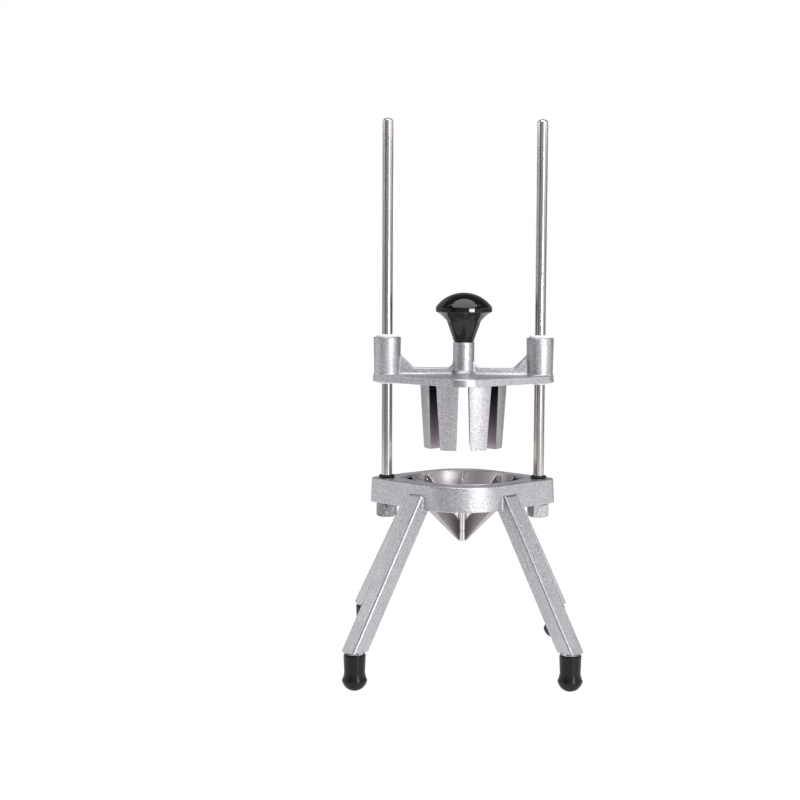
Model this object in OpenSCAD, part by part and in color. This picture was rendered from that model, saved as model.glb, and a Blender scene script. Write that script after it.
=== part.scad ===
// Hand press wedger: two guide rods, a sliding pusher and eight cutting blades.
// Millimetres. Z is up from the feet, X runs through both guide rods, the front is -Y.

/* [Guide rods] */
// Distance between the two rod axes
rod_pitch = 136.4; // [130:0.1:150]
// Diameter of a guide rod
rod_d = 9.5; // [8.5:0.1:10.5]
// Height of the rod tops above the table
rod_top_z = 488; // [450:1:540]
// Height of the domed rod end
rod_dome_h = 2.2; // [1:0.1:3]
// Diameter of the threaded lower end of a rod
rod_shank_d = 8.4; // [7:0.1:8.4]
// Length of thread that shows below the rod nut
rod_thread_out = 0.8; // [0:0.1:3]

/* [Base casting] */
// Height of the top face of the casting
ring_top_z = 169; // [150:1:200]
// Height of the ring of the casting
ring_h = 22; // [18:0.5:30]
// Radius of the rounded front and back of the ring
ring_nose_r = 45.5; // [43:0.5:55]
// Distance of those arcs' centres from the middle
ring_nose_y = 15.8; // [12:0.1:20]
// Radius of the rounded ends round the rods
ring_end_r = 9.1; // [8:0.1:14]
// Distance of the end arcs' centres from the middle
ring_end_x = 72.5; // [70:0.1:78]
// Outward draft of the ring from top to bottom
ring_draft = 1; // [0:0.1:2]
// Clearance round the blade cup
cup_gap = 0.3; // [0.1:0.05:0.8]
// Reach of the pointed side pockets of the opening
pocket_x = 51; // [48:0.5:54]
// Reach of the shallow recess round the side pockets
recess_x = 56; // [54:0.5:60]
// Depth of that shallow recess
recess_depth = 1.2; // [0.5:0.1:3]
// Height of the ledge that carries the cup
ledge_h = 2; // [1.5:0.1:4]
// Width of the ledge under the cup
ledge_w = 3; // [2:0.1:4]

/* [Legs and feet] */
// Distance of each foot from the middle
foot_reach = 130.4; // [115:0.5:145]
// Width of a leg across
leg_w = 16.2; // [13:0.1:18]
// Depth of a leg, square to its length
leg_d = 15.4; // [12:0.1:17]
// Rounding of the leg edges
leg_edge_r = 1.6; // [0.5:0.1:3]
// Lean of a leg from upright, in degrees
leg_lean = 32.2; // [28:0.1:36]
// Angle of the legs from the rod line, in degrees
leg_turn = 45.4; // [40:0.1:50]
// Height of the sawn lower end of a leg
leg_end_z = 33; // [32.5:0.5:38]
// Drop from the ring's top face to the head of a leg
leg_head_drop = 9.5; // [6:0.5:14]
// Diameter of the spigot inside a rubber foot
spigot_d = 12; // [9:0.5:13]
// Diameter of the collar between leg and foot
collar_d = 16; // [14:0.5:17]
// Height of a rubber foot
foot_h = 31; // [26:0.5:31]
// Diameter of a foot at its top
foot_top_d = 19; // [17.5:0.1:21]
// Diameter of a foot at its waist
foot_waist_d = 18; // [16:0.1:18.4]
// Height of that waist
foot_waist_z = 16.3; // [14:0.1:20]
// Diameter of a foot at its bulge
foot_bulge_d = 21.7; // [20:0.1:24]
// Height of the bulge
foot_bulge_z = 8.4; // [7:0.1:10]
// Diameter of the flat that a foot stands on
foot_flat_d = 6; // [5:0.5:12]
// Thickness of rubber under the spigot
foot_sole = 7; // [5:0.5:10]

/* [Blade cup] */
// Outside diameter of the cup
cup_d = 91.4; // [88:0.2:95]
// Wall thickness of the cup
cup_wall = 1.2; // [0.8:0.1:1.6]
// Height of the cup's rim above the casting
cup_proud = 0; // [0:0.1:1]
// Thickness of a blade
blade_t = 1; // [0.8:0.1:1.6]
// Depth of a blade's upper edge below the rim, at the wall
blade_top_drop = 2; // [1:0.1:5]
// Upright height of a blade at the wall
blade_outer_h = 14.4; // [10:0.1:15]
// Upright height of a blade at the core
blade_inner_h = 18; // [12:0.1:20]
// Drop of the upper edge from the wall to the core
blade_fall = 36; // [20:0.5:40]
// Outside diameter of the core tube
core_d = 8; // [8:0.1:12]
// Bore of the core tube
core_bore_d = 6; // [5:0.1:6.6]
// Length of the core tube
core_len = 26.3; // [22:0.1:30]
// Drop of the core tube below the blades
core_drop = 0.8; // [0.3:0.1:3]
// Width of a blade's riveted tab
tab_w = 6; // [5:0.1:8]
// Height of a blade's riveted tab
tab_h = 8; // [6:0.1:9]
// Shank diameter of a rivet
rivet_d = 2; // [1.6:0.1:2.4]
// Head diameter of a rivet
rivet_head_d = 3.2; // [2.8:0.1:4]
// Height of a rivet head
rivet_head_h = 1; // [0.6:0.1:1.6]
// Gap between a rivet head and the side of its blade
rivet_clear = 0.3; // [0.2:0.1:0.8]
// Gap left between pieces that only touch
touch_gap = 0.05; // [0.03:0.01:0.1]

/* [Rod nuts and bumpers] */
// Width of a rod nut across its flats
nut_af = 17; // [15:0.1:19]
// Height of a rod nut
nut_h = 11.6; // [8:0.1:16]
// Chamfer on the lower end of a nut
nut_chamfer = 1.6; // [0.5:0.1:2.5]
// Turn of the hexagons about their rods, in degrees
nut_turn = 8; // [0:1:30]
// Thickness of the washer under each nut
washer_t = 1.3; // [0.8:0.1:2.5]
// Outside diameter of a washer
washer_d = 16.4; // [13:0.1:18]
// Section diameter of a rubber bumper ring
bumper_section = 2.4; // [1.8:0.1:3.2]

/* [Pusher] */
// Height of the underside of the pusher plate, as shown
plate_z = 255.5; // [240:0.5:300]
// Thickness of the pusher plate
plate_h = 7; // [5:0.5:10]
// Radius of the plate's front and back corners
plate_nose_r = 18; // [14:0.5:24]
// Distance of those corners' centres from the middle
plate_nose_y = 43.3; // [38:0.1:50]
// Outside diameter of a rod sleeve
sleeve_d = 24.5; // [22:0.5:28]
// Height of the sleeves above the plate's underside
sleeve_h = 39.7; // [32:0.1:50]
// Outward draft of a sleeve from top to bottom
sleeve_draft = 0.4; // [0:0.1:0.8]
// Diameter of the centre post
post_d = 19; // [17:0.5:24]
// Height of the post above the plate's underside
post_h = 35.9; // [30:0.1:45]
// Radius of the fillet at the foot of the post
post_fillet = 6; // [3:0.5:8]
// Height of the cross rib above the plate's underside
rib_h = 12.5; // [9:0.1:16]
// Width of the cross rib
rib_w = 8; // [5:0.5:10]
// Size of the gussets between rib and sleeves
gusset = 11.2; // [6:0.1:14]
// Length of the fingers below the plate
finger_len = 58.2; // [40:0.1:62]
// Radius over the fingers at the plate
finger_top_r = 39; // [36:0.1:40]
// Radius over the fingers at their tips
finger_tip_r = 35.4; // [32:0.1:36]
// Width of the slots between the fingers at the plate
slot_top_w = 9; // [7:0.1:11]
// Width of the slots at the finger tips
slot_tip_w = 12.2; // [11:0.1:14]

/* [Bushings] */
// Running clearance of a bushing on its rod, per side
bushing_gap = 0.05; // [0.02:0.01:0.1]
// Outside diameter of a bushing barrel
bushing_d = 14; // [12.5:0.1:16]
// Length of a bushing barrel
bushing_len = 14; // [8:0.5:16]
// Diameter of a bushing flange
flange_d = 19; // [17:0.1:21]
// Thickness of the upper flanges
flange_top_t = 2.4; // [1:0.1:3]
// Thickness of the lower flanges
flange_bottom_t = 1.5; // [1:0.1:3]

/* [Knob] */
// Diameter of the knob
knob_d = 50.5; // [44:0.5:56]
// Height of the upright band round the knob
knob_band_h = 4.4; // [3:0.1:7]
// Height of the dome above the band
knob_dome_h = 12.9; // [10:0.1:18]
// Height of the hollowed underside
knob_under_h = 7.9; // [6:0.1:10]
// Diameter at the top of the stem
stem_top_d = 30.8; // [26:0.1:34]
// Height of the tapered stem
stem_h = 15.9; // [12:0.1:20]
// Diameter at the foot of the taper
stem_low_d = 19.4; // [17.4:0.1:22]
// Height of the rounded foot of the stem
stem_foot_h = 2.6; // [2:0.1:4]
// Diameter of the flat that sits on the post
stem_base_d = 15.8; // [14.5:0.1:17]
// Diameter of the threaded stud
stud_d = 8; // [6:0.5:8]
// Depth of the stud in the post
stud_in_post = 15; // [10:0.5:20]
// Depth of the stud in the knob
stud_in_knob = 15; // [10:0.5:18]
// Diameter of the threaded insert
insert_d = 12; // [11:0.5:13]
// Length of the threaded insert
insert_len = 18; // [16:0.5:22]

/* [Hidden] */
$fn = 64;

blade_count = 8;
blade_step = 360 / blade_count;
rod_x = rod_pitch / 2;
rod_r = rod_d / 2;
eps = 0.01;
cut = 1;

ring_bottom_z = ring_top_z - ring_h;
opening_r = cup_d / 2 + cup_gap;
ledge_r = cup_d / 2 - ledge_w;
cup_bottom_z = ring_bottom_z + ledge_h;
cup_top_z = ring_top_z + cup_proud;
cup_in_r = cup_d / 2 - cup_wall;
shank_hole_d = rod_shank_d + 2 * touch_gap;

leg_run = leg_d / cos(leg_lean);
leg_head_z = ring_top_z - leg_head_drop;
foot_bore_z = foot_sole;
foot_turns = [leg_turn, 180 - leg_turn, 180 + leg_turn, -leg_turn];

blade_outer_r = cup_in_r - touch_gap;
blade_inner_r = core_d / 2 + touch_gap;
blade_outer_z = cup_top_z - blade_top_drop;
blade_inner_z = blade_outer_z - blade_fall;
rivet_z = blade_outer_z - tab_h / 2;
tab_r = cup_in_r - touch_gap;
rivet_shift = asin((blade_t / 2 + rivet_clear + rivet_head_d / 2) / tab_r);
core_bottom_z = blade_inner_z - blade_inner_h - core_drop;

washer_z = ring_bottom_z - washer_t;
nut_z = washer_z - nut_h;
bumper_mid_r = rod_r + touch_gap + bumper_section / 2;

sleeve_top_z = plate_z + sleeve_h;
post_top_z = plate_z + post_h;
bushing_seat_r = bushing_d / 2 + touch_gap;
stud_hole_r = stud_d / 2 + touch_gap;

knob_z = post_top_z + touch_gap;
stem_top_z = stem_foot_h + stem_h;
band_low_z = stem_top_z + knob_under_h;
band_top_z = band_low_z + knob_band_h;
dome_r = (pow(knob_d / 2, 2) + pow(knob_dome_h, 2)) / (2 * knob_dome_h);

// Side of a blade that its tab is bent to: clockwise on the right half, else anticlockwise
function tab_side(index) = cos(index * blade_step) > -0.1 ? -1 : 1;

// Tangent outline of two round noses on Y and two round ends on X
module blank_hull(nose_r, nose_y, end_r, end_x, height, draft) {
    hull() {
        for (s = [-1, 1]) {
            translate([0, s * nose_y, 0])
                cylinder(h = height, r1 = nose_r + draft, r2 = nose_r, $fn = 96);
            translate([s * end_x, 0, 0])
                cylinder(h = height, r1 = end_r + draft, r2 = end_r, $fn = 32);
        }
    }
}

// Round opening with a point at each side
module pointed_opening(radius, reach) {
    touch_x = radius * radius / reach;
    touch_y = sqrt(radius * radius - touch_x * touch_x);
    circle(r = radius);
    polygon([
        [reach, 0], [touch_x, touch_y], [-touch_x, touch_y],
        [-reach, 0], [-touch_x, -touch_y], [touch_x, -touch_y],
    ]);
}

module rounded_rectangle(width, depth, radius) {
    square([width - 2 * radius, depth], center = true);
    square([width, depth - 2 * radius], center = true);
    for (sx = [-1, 1]) {
        for (sy = [-1, 1]) {
            translate([sx * (width / 2 - radius), sy * (depth / 2 - radius)])
                circle(r = radius, $fn = 24);
        }
    }
}

// A leg leans outward from the ring; both ends are cut level
module leg(turn) {
    length = (leg_head_z - leg_end_z) / cos(leg_lean) + 2 * leg_d;
    rotate([0, 0, turn]) {
        intersection() {
            translate([foot_reach, 0, leg_end_z])
                rotate([0, -leg_lean, 0])
                    translate([0, 0, -leg_d])
                        linear_extrude(height = length)
                            rounded_rectangle(leg_d, leg_w, leg_edge_r);
            translate([0, -leg_w, leg_end_z])
                cube([foot_reach + leg_run, 2 * leg_w, leg_head_z - leg_end_z]);
        }
        translate([foot_reach, 0, foot_h])
            cylinder(h = leg_end_z - foot_h + eps, d = collar_d);
        translate([foot_reach, 0, foot_bore_z + touch_gap])
            cylinder(h = leg_end_z - foot_bore_z, d = spigot_d);
    }
}

module base_frame() {
    color([0.76, 0.76, 0.78])
    difference() {
        union() {
            translate([0, 0, ring_bottom_z])
                blank_hull(ring_nose_r, ring_nose_y, ring_end_r, ring_end_x, ring_h, ring_draft);
            for (turn = foot_turns) {
                leg(turn);
            }
        }
        translate([0, 0, cup_bottom_z])
            linear_extrude(height = ring_h)
                pointed_opening(opening_r, pocket_x);
        translate([0, 0, ring_top_z - recess_depth])
            linear_extrude(height = recess_depth + cut)
                pointed_opening(opening_r, recess_x);
        translate([0, 0, ring_bottom_z - ring_h])
            cylinder(h = 2 * ring_h, r = ledge_r);
        for (s = [-1, 1]) {
            translate([s * rod_x, 0, ring_bottom_z - cut])
                cylinder(h = ring_h + 2 * cut, d = shank_hole_d);
        }
    }
}

// Rubber foot, a revolved sleeve with a bulge and a domed sole
module foot(turn) {
    steps = 8;
    flat_r = foot_flat_d / 2;
    bulge_r = foot_bulge_d / 2;
    ball_z = (bulge_r * bulge_r + foot_bulge_z * foot_bulge_z - flat_r * flat_r) / (2 * foot_bulge_z);
    ball_r = norm([flat_r, ball_z]);
    flat_angle = atan2(flat_r, ball_z);
    bulge_angle = atan2(bulge_r, ball_z - foot_bulge_z);
    dome = [
        for (i = [0 : steps])
            let (a = flat_angle + (bulge_angle - flat_angle) * i / steps)
            [ball_r * sin(a), ball_z - ball_r * cos(a)]
    ];
    flare = [
        for (i = [1 : steps])
            let (a = 90 * i / steps)
            [
                foot_waist_d / 2 + (foot_bulge_d - foot_waist_d) / 2 * (1 - sin(a)),
                foot_bulge_z + (foot_waist_z - foot_bulge_z) * i / steps
            ]
    ];
    color([0.13, 0.12, 0.13])
    rotate([0, 0, turn])
        translate([foot_reach, 0, 0])
            difference() {
                rotate_extrude()
                    polygon(concat([[0, 0]], dome, flare, [
                        [foot_top_d / 2, foot_h - touch_gap - 1],
                        [foot_top_d / 2 - 0.5, foot_h - touch_gap],
                        [0, foot_h - touch_gap],
                    ]));
                translate([0, 0, foot_bore_z])
                    cylinder(h = foot_h, d = spigot_d + 2 * touch_gap);
            }
}

module foot_front_left() {
    foot(foot_turns[2]);
}

module foot_front_right() {
    foot(foot_turns[3]);
}

module foot_rear_left() {
    foot(foot_turns[1]);
}

module foot_rear_right() {
    foot(foot_turns[0]);
}

module at_rivets() {
    for (i = [0 : blade_count - 1]) {
        rotate([0, 0, i * blade_step + tab_side(i) * rivet_shift])
            translate([0, 0, rivet_z])
                rotate([0, 90, 0])
                    children();
    }
}

module blade_cup() {
    color([0.80, 0.80, 0.81])
    difference() {
        rotate_extrude($fn = 96)
            polygon([
                [cup_in_r, cup_bottom_z + touch_gap],
                [cup_d / 2, cup_bottom_z + touch_gap],
                [cup_d / 2, cup_top_z - cup_wall / 3],
                [cup_d / 2 - cup_wall / 3, cup_top_z],
                [cup_in_r + cup_wall / 3, cup_top_z],
                [cup_in_r, cup_top_z - cup_wall / 3],
            ]);
        at_rivets()
            translate([0, 0, tab_r / 2])
                cylinder(h = tab_r, d = rivet_d + 2 * touch_gap);
    }
}

// One blade: a sloping strip with a tab bent along the cup wall
module blade(index) {
    side = tab_side(index);
    tab_y = side > 0 ? -blade_t / 2 : blade_t / 2 - tab_w;
    color([0.72, 0.73, 0.75])
    rotate([0, 0, index * blade_step])
        difference() {
            union() {
                rotate([90, 0, 0])
                    linear_extrude(height = blade_t, center = true)
                        polygon([
                            [blade_inner_r, blade_inner_z],
                            [blade_inner_r, blade_inner_z - blade_inner_h],
                            [blade_outer_r - eps, blade_outer_z - blade_outer_h],
                            [blade_outer_r - eps, blade_outer_z],
                        ]);
                intersection() {
                    translate([0, 0, blade_outer_z - tab_h])
                        difference() {
                            cylinder(h = tab_h, r = tab_r);
                            translate([0, 0, -cut])
                                cylinder(h = tab_h + 2 * cut, r = tab_r - blade_t);
                        }
                    translate([tab_r / 2, tab_y, blade_outer_z - tab_h])
                        cube([tab_r, tab_w, tab_h]);
                }
            }
            rotate([0, 0, side * rivet_shift])
                translate([tab_r / 2, 0, rivet_z])
                    rotate([0, 90, 0])
                        cylinder(h = tab_r, d = rivet_d + 2 * touch_gap);
        }
}

module blade_1() {
    blade(0);
}

module blade_2() {
    blade(1);
}

module blade_3() {
    blade(2);
}

module blade_4() {
    blade(3);
}

module blade_5() {
    blade(4);
}

module blade_6() {
    blade(5);
}

module blade_7() {
    blade(6);
}

module blade_8() {
    blade(7);
}

module core_tube() {
    color([0.72, 0.73, 0.75])
    translate([0, 0, core_bottom_z])
        difference() {
            cylinder(h = core_len, d = core_d);
            translate([0, 0, -cut])
                cylinder(h = core_len + 2 * cut, d = core_bore_d);
        }
}

// Rivets through tab and cup wall: a low head inside, flush outside
module blade_rivets() {
    head_r = tab_r - blade_t - touch_gap;
    color([0.62, 0.62, 0.64])
    at_rivets() {
        translate([0, 0, head_r - rivet_head_h])
            cylinder(h = rivet_head_h, d1 = rivet_head_d * 0.6, d2 = rivet_head_d, $fn = 24);
        translate([0, 0, head_r - eps])
            cylinder(h = cup_d / 2 - head_r - touch_gap, d = rivet_d, $fn = 24);
    }
}

module guide_rod(side) {
    color([0.70, 0.68, 0.67])
    translate([side * rod_x, 0, 0]) {
        translate([0, 0, nut_z - rod_thread_out])
            cylinder(h = ring_top_z + rod_thread_out - nut_z + eps, d = rod_shank_d);
        translate([0, 0, ring_top_z])
            cylinder(h = rod_top_z - rod_dome_h - ring_top_z, d = rod_d);
        translate([0, 0, rod_top_z - rod_dome_h])
            rod_dome();
    }
}

module rod_dome() {
    radius = (rod_r * rod_r + rod_dome_h * rod_dome_h) / (2 * rod_dome_h);
    intersection() {
        translate([0, 0, rod_dome_h - radius])
            sphere(r = radius);
        cylinder(h = rod_dome_h + cut, r = rod_r);
    }
}

module guide_rod_left() {
    guide_rod(-1);
}

module guide_rod_right() {
    guide_rod(1);
}

module rod_washer(side) {
    color([0.66, 0.67, 0.69])
    translate([side * rod_x, 0, washer_z])
        difference() {
            cylinder(h = washer_t - touch_gap, d = washer_d);
            translate([0, 0, -cut])
                cylinder(h = washer_t + 2 * cut, d = shank_hole_d);
        }
}

module rod_washer_left() {
    rod_washer(-1);
}

module rod_washer_right() {
    rod_washer(1);
}

module rod_nut(side) {
    corner_r = nut_af / 2 / cos(30);
    color([0.66, 0.67, 0.69])
    translate([side * rod_x, 0, nut_z])
        rotate([0, 0, side * nut_turn])
            difference() {
                intersection() {
                    cylinder(h = nut_h - touch_gap, r = corner_r, $fn = 6);
                    union() {
                        cylinder(h = nut_chamfer, r1 = corner_r - nut_chamfer, r2 = corner_r, $fn = 48);
                        translate([0, 0, nut_chamfer - eps])
                            cylinder(h = nut_h, r = corner_r + cut, $fn = 48);
                    }
                }
                translate([0, 0, -cut])
                    cylinder(h = nut_h + 2 * cut, d = shank_hole_d);
            }
}

module rod_nut_left() {
    rod_nut(-1);
}

module rod_nut_right() {
    rod_nut(1);
}

module bumper(side) {
    color([0.08, 0.08, 0.08])
    translate([side * rod_x, 0, ring_top_z + touch_gap + bumper_section / 2])
        rotate_extrude()
            translate([bumper_mid_r, 0])
                circle(d = bumper_section, $fn = 24);
}

module bumper_left() {
    bumper(-1);
}

module bumper_right() {
    bumper(1);
}

// Fillet ring at the foot of the post
module post_root() {
    steps = 8;
    arc = [
        for (i = [0 : steps])
            let (a = 90 * i / steps)
            [post_d / 2 + post_fillet * (1 - sin(a)), post_fillet * (1 - cos(a))]
    ];
    rotate_extrude()
        polygon(concat([[0, 0]], arc, [[0, post_fillet]]));
}

// Half of the cross rib: a sloping gusset at the sleeve and a fillet up the post
module half_rib() {
    sleeve_in_x = rod_x - sleeve_d / 2;
    steps = 6;
    fillet = [
        for (i = [0 : steps])
            let (a = 90 * i / steps)
            [post_d / 2 + post_fillet * (1 - sin(a)), rib_h + post_fillet * (1 - cos(a))]
    ];
    rotate([90, 0, 0])
        linear_extrude(height = rib_w, center = true)
            polygon(concat([
                [0, cut], [rod_x, cut], [rod_x, rib_h + gusset],
                [sleeve_in_x, rib_h + gusset], [sleeve_in_x - gusset, rib_h],
            ], fillet, [[0, rib_h + post_fillet]]));
}

module cross_rib() {
    half_rib();
    mirror([1, 0, 0])
        half_rib();
}

module fingers() {
    difference() {
        translate([0, 0, -finger_len])
            cylinder(h = finger_len + cut, r1 = finger_tip_r, r2 = finger_top_r, $fn = 96);
        for (k = [0 : blade_count / 2 - 1]) {
            rotate([0, 0, k * blade_step])
                rotate([90, 0, 0])
                    linear_extrude(height = 3 * finger_top_r, center = true)
                        polygon([
                            [-slot_top_w / 2, 0],
                            [slot_top_w / 2, 0],
                            [slot_tip_w / 2, -finger_len - eps],
                            [slot_tip_w / 2, -finger_len - cut],
                            [-slot_tip_w / 2, -finger_len - cut],
                            [-slot_tip_w / 2, -finger_len - eps],
                        ]);
        }
    }
}

module pusher_head() {
    color([0.76, 0.76, 0.78])
    translate([0, 0, plate_z])
        difference() {
            union() {
                blank_hull(plate_nose_r, plate_nose_y, sleeve_d / 2, rod_x, plate_h, sleeve_draft);
                for (s = [-1, 1]) {
                    translate([s * rod_x, 0, 0])
                        cylinder(h = sleeve_h, r1 = sleeve_d / 2 + sleeve_draft, r2 = sleeve_d / 2);
                }
                cylinder(h = post_h, d = post_d);
                translate([0, 0, plate_h])
                    post_root();
                cross_rib();
                fingers();
            }
            for (s = [-1, 1]) {
                translate([s * rod_x, 0, -cut])
                    cylinder(h = sleeve_h + 2 * cut, r = bushing_seat_r);
            }
            translate([0, 0, post_h - stud_in_post - touch_gap])
                cylinder(h = stud_in_post + cut, r = stud_hole_r);
        }
}

module bushing(side, flange_t) {
    translate([side * rod_x, 0, 0])
        difference() {
            union() {
                translate([0, 0, -bushing_len])
                    cylinder(h = bushing_len + touch_gap + eps, d = bushing_d);
                translate([0, 0, touch_gap])
                    cylinder(h = flange_t - touch_gap, d = flange_d);
            }
            translate([0, 0, -bushing_len - cut])
                cylinder(h = bushing_len + flange_t + 2 * cut, r = rod_r + bushing_gap);
        }
}

module bushing_top(side) {
    color([0.95, 0.95, 0.94])
    translate([0, 0, sleeve_top_z])
        bushing(side, flange_top_t);
}

module bushing_bottom(side) {
    color([0.95, 0.95, 0.94])
    translate([0, 0, plate_z])
        mirror([0, 0, 1])
            bushing(side, flange_bottom_t);
}

module bushing_top_left() {
    bushing_top(-1);
}

module bushing_top_right() {
    bushing_top(1);
}

module bushing_bottom_left() {
    bushing_bottom(-1);
}

module bushing_bottom_right() {
    bushing_bottom(1);
}

module knob_stud() {
    color([0.62, 0.62, 0.64])
    translate([0, 0, post_top_z - stud_in_post])
        cylinder(h = stud_in_post + stud_in_knob, d = stud_d);
}

module knob_insert() {
    color([0.78, 0.62, 0.30])
    translate([0, 0, knob_z + touch_gap])
        difference() {
            cylinder(h = insert_len, d = insert_d);
            translate([0, 0, -cut])
                cylinder(h = stud_in_knob + cut, r = stud_hole_r);
        }
}

// Mushroom knob turned from the stem up to the dome
module knob() {
    steps = 16;
    foot_arc = [
        for (i = [0 : 4])
            let (a = 90 * i / 4)
            [
                stem_base_d / 2 + (stem_low_d - stem_base_d) / 2 * sin(a),
                stem_foot_h * (1 - cos(a))
            ]
    ];
    under = [
        for (i = [0 : steps])
            let (t = i / steps, sag = 0.10 * knob_under_h * sin(180 * t))
            [
                stem_top_d / 2 + (knob_d - stem_top_d) / 2 * t,
                stem_top_z + knob_under_h * t + sag
            ]
    ];
    dome_angle = asin(knob_d / 2 / dome_r);
    dome = [
        for (i = [0 : steps])
            let (a = dome_angle * (1 - i / steps))
            [dome_r * sin(a), band_top_z + knob_dome_h - dome_r * (1 - cos(a))]
    ];
    color([0.03, 0.03, 0.03])
    translate([0, 0, knob_z])
        difference() {
            rotate_extrude($fn = 96)
                polygon(concat([[0, 0]], foot_arc, under, dome));
            translate([0, 0, -cut])
                cylinder(h = insert_len + 2 * touch_gap + cut, r = insert_d / 2 + touch_gap);
        }
}

base_frame();
foot_front_left();
foot_front_right();
foot_rear_left();
foot_rear_right();
blade_cup();
blade_1();
blade_2();
blade_3();
blade_4();
blade_5();
blade_6();
blade_7();
blade_8();
core_tube();
blade_rivets();
guide_rod_left();
guide_rod_right();
rod_washer_left();
rod_washer_right();
rod_nut_left();
rod_nut_right();
bumper_left();
bumper_right();
pusher_head();
bushing_top_left();
bushing_top_right();
bushing_bottom_left();
bushing_bottom_right();
knob_stud();
knob_insert();
knob();
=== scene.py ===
"""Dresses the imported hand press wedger: castings, blades, rods, bushings, knob, feet and stage."""

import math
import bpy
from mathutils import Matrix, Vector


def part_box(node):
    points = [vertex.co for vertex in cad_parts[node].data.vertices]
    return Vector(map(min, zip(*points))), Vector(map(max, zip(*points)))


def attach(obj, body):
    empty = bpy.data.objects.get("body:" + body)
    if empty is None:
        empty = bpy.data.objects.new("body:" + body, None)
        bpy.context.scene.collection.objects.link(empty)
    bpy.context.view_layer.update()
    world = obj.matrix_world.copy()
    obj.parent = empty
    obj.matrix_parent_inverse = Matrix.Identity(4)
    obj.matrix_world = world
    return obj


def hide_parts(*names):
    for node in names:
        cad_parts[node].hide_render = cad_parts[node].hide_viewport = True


bl_info = {
    "name": "Hand Press Wedger",
    "version": (1, 0, 0),
    "blender": (4, 5, 0),
    "location": "3D View > Sidebar > Wedger",
    "description": "Models and finishes the pieces of a hand press wedger round its packed frame",
    "category": "Add Mesh",
}

from contextlib import contextmanager

import bmesh
import bpy
from bpy.props import FloatProperty, FloatVectorProperty, PointerProperty
from mathutils import Matrix, Vector

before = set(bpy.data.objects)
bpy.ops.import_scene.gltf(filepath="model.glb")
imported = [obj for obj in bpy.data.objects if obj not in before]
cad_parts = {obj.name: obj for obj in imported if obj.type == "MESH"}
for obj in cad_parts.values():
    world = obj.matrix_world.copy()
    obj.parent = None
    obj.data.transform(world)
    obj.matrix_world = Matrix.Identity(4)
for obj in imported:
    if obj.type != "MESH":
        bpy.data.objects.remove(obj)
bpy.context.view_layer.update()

MM = 0.001
TINY = 1e-6
CREASE = math.radians(25)  # least angle between two faces that counts as an edge
LEVEL = 2e-5  # how far an edge may lie from the height it is looked for at
SEAT = 0.05 * MM  # play between pieces that sit in each other
SUNK = 2 * MM  # how far a form starts inside the next one, so that both fuse
FIT = 1.5 * MM  # how far a finished piece may differ from the box of its CAD node
SIDES = {"left": -1, "right": 1}
BLADES = 8
FINGERS = 8
UPRIGHT = (1, 1, 0.06)  # stretch of brushed lines that run up and down
ROUND = (0.05, 0.05, 1)  # stretch of turned lines that run round the axis


# ---------------------------------------------------------------- sizes and colours


def length(label, about, millimetres):
    default = millimetres * MM
    return FloatProperty(name=label, description=about, default=default, unit="LENGTH", precision=5)


def angle(label, about, degrees):
    default = math.radians(degrees)
    return FloatProperty(name=label, description=about, default=default, subtype="ANGLE")


def amount(label, about, value):
    return FloatProperty(name=label, description=about, default=value)


def colour(label, about, *tone):
    return FloatVectorProperty(name=label, description=about, default=tone, subtype="COLOR")


class WEDGER_PG_casting(bpy.types.PropertyGroup):
    """Sizes of the base casting and its rubber feet"""

    ring_h: length("Ring height", "Height of the ring", 22)
    draft: length("Draft", "Outward draft of the ring from top to bottom", 1)
    nose_r: length("Nose radius", "Radius of the rounded front and back", 45.5)
    nose_y: length("Nose centre", "Distance of those arcs from the middle", 15.8)
    end_r: length("End radius", "Radius of the ends round the rods", 9.1)
    end_x: length("End centre", "Distance of the end arcs from the middle", 72.5)
    opening_r: length("Opening radius", "Radius of the hole for the blade cup", 46.7)
    pocket_x: length("Pocket reach", "Reach of the pointed side pockets", 51)
    pocket_tip: length("Pocket tip", "Radius of the tips of pockets and recess", 1.4)
    recess_x: length("Recess reach", "Reach of the shallow recess", 56)
    recess_depth: length("Recess depth", "Depth of the shallow recess", 1.2)
    ledge_h: length("Ledge height", "Height of the ledge under the cup", 2)
    ledge_r: length("Ledge radius", "Inner radius of that ledge", 42.7)
    rim_round: length("Rim rounding", "Tumbled rounding of the outer edges", 1.4)
    bore_round: length("Bore rounding", "Rounding of the edges of the opening", 0.5)
    blend: length("Blend", "Fillet where legs meet the ring", 1.2)
    foot_reach: length("Foot reach", "Distance of each foot from the middle", 130.4)
    leg_turn: angle("Leg turn", "Angle of the legs from the rod line", 45.4)
    leg_lean: angle("Leg lean", "Lean of a leg from upright", 32.2)
    leg_w: length("Leg width", "Width of a leg across", 16.2)
    leg_d: length("Leg depth", "Depth of a leg", 15.4)
    leg_round: length("Leg rounding", "Rounding of the long edges of a leg", 2.0)
    leg_end_round: length("Leg end rounding", "Rounding of the ends of a leg", 1.2)
    leg_end_z: length("Leg end", "Height of a leg's lower end", 33)
    leg_head_drop: length("Leg head", "Drop from the ring's top to a leg's head", 9.5)
    collar_r: length("Collar radius", "Radius of the collar between leg and foot", 8)
    spigot_r: length("Spigot radius", "Radius of the spigot in a foot", 6)
    foot_top_r: length("Foot top", "Radius of a foot at its top", 9.5)
    foot_waist_r: length("Foot waist", "Radius of a foot at its waist", 9)
    foot_waist_z: length("Waist height", "Height of that waist", 16.3)
    foot_bulge_r: length("Foot bulge", "Radius of a foot at its bulge", 10.85)
    foot_bulge_z: length("Bulge height", "Height of the bulge", 8.4)
    foot_flat_r: length("Foot flat", "Radius of the flat that a foot stands on", 3)
    foot_bore_z: length("Foot sole", "Thickness of rubber under the spigot", 7)


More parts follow.
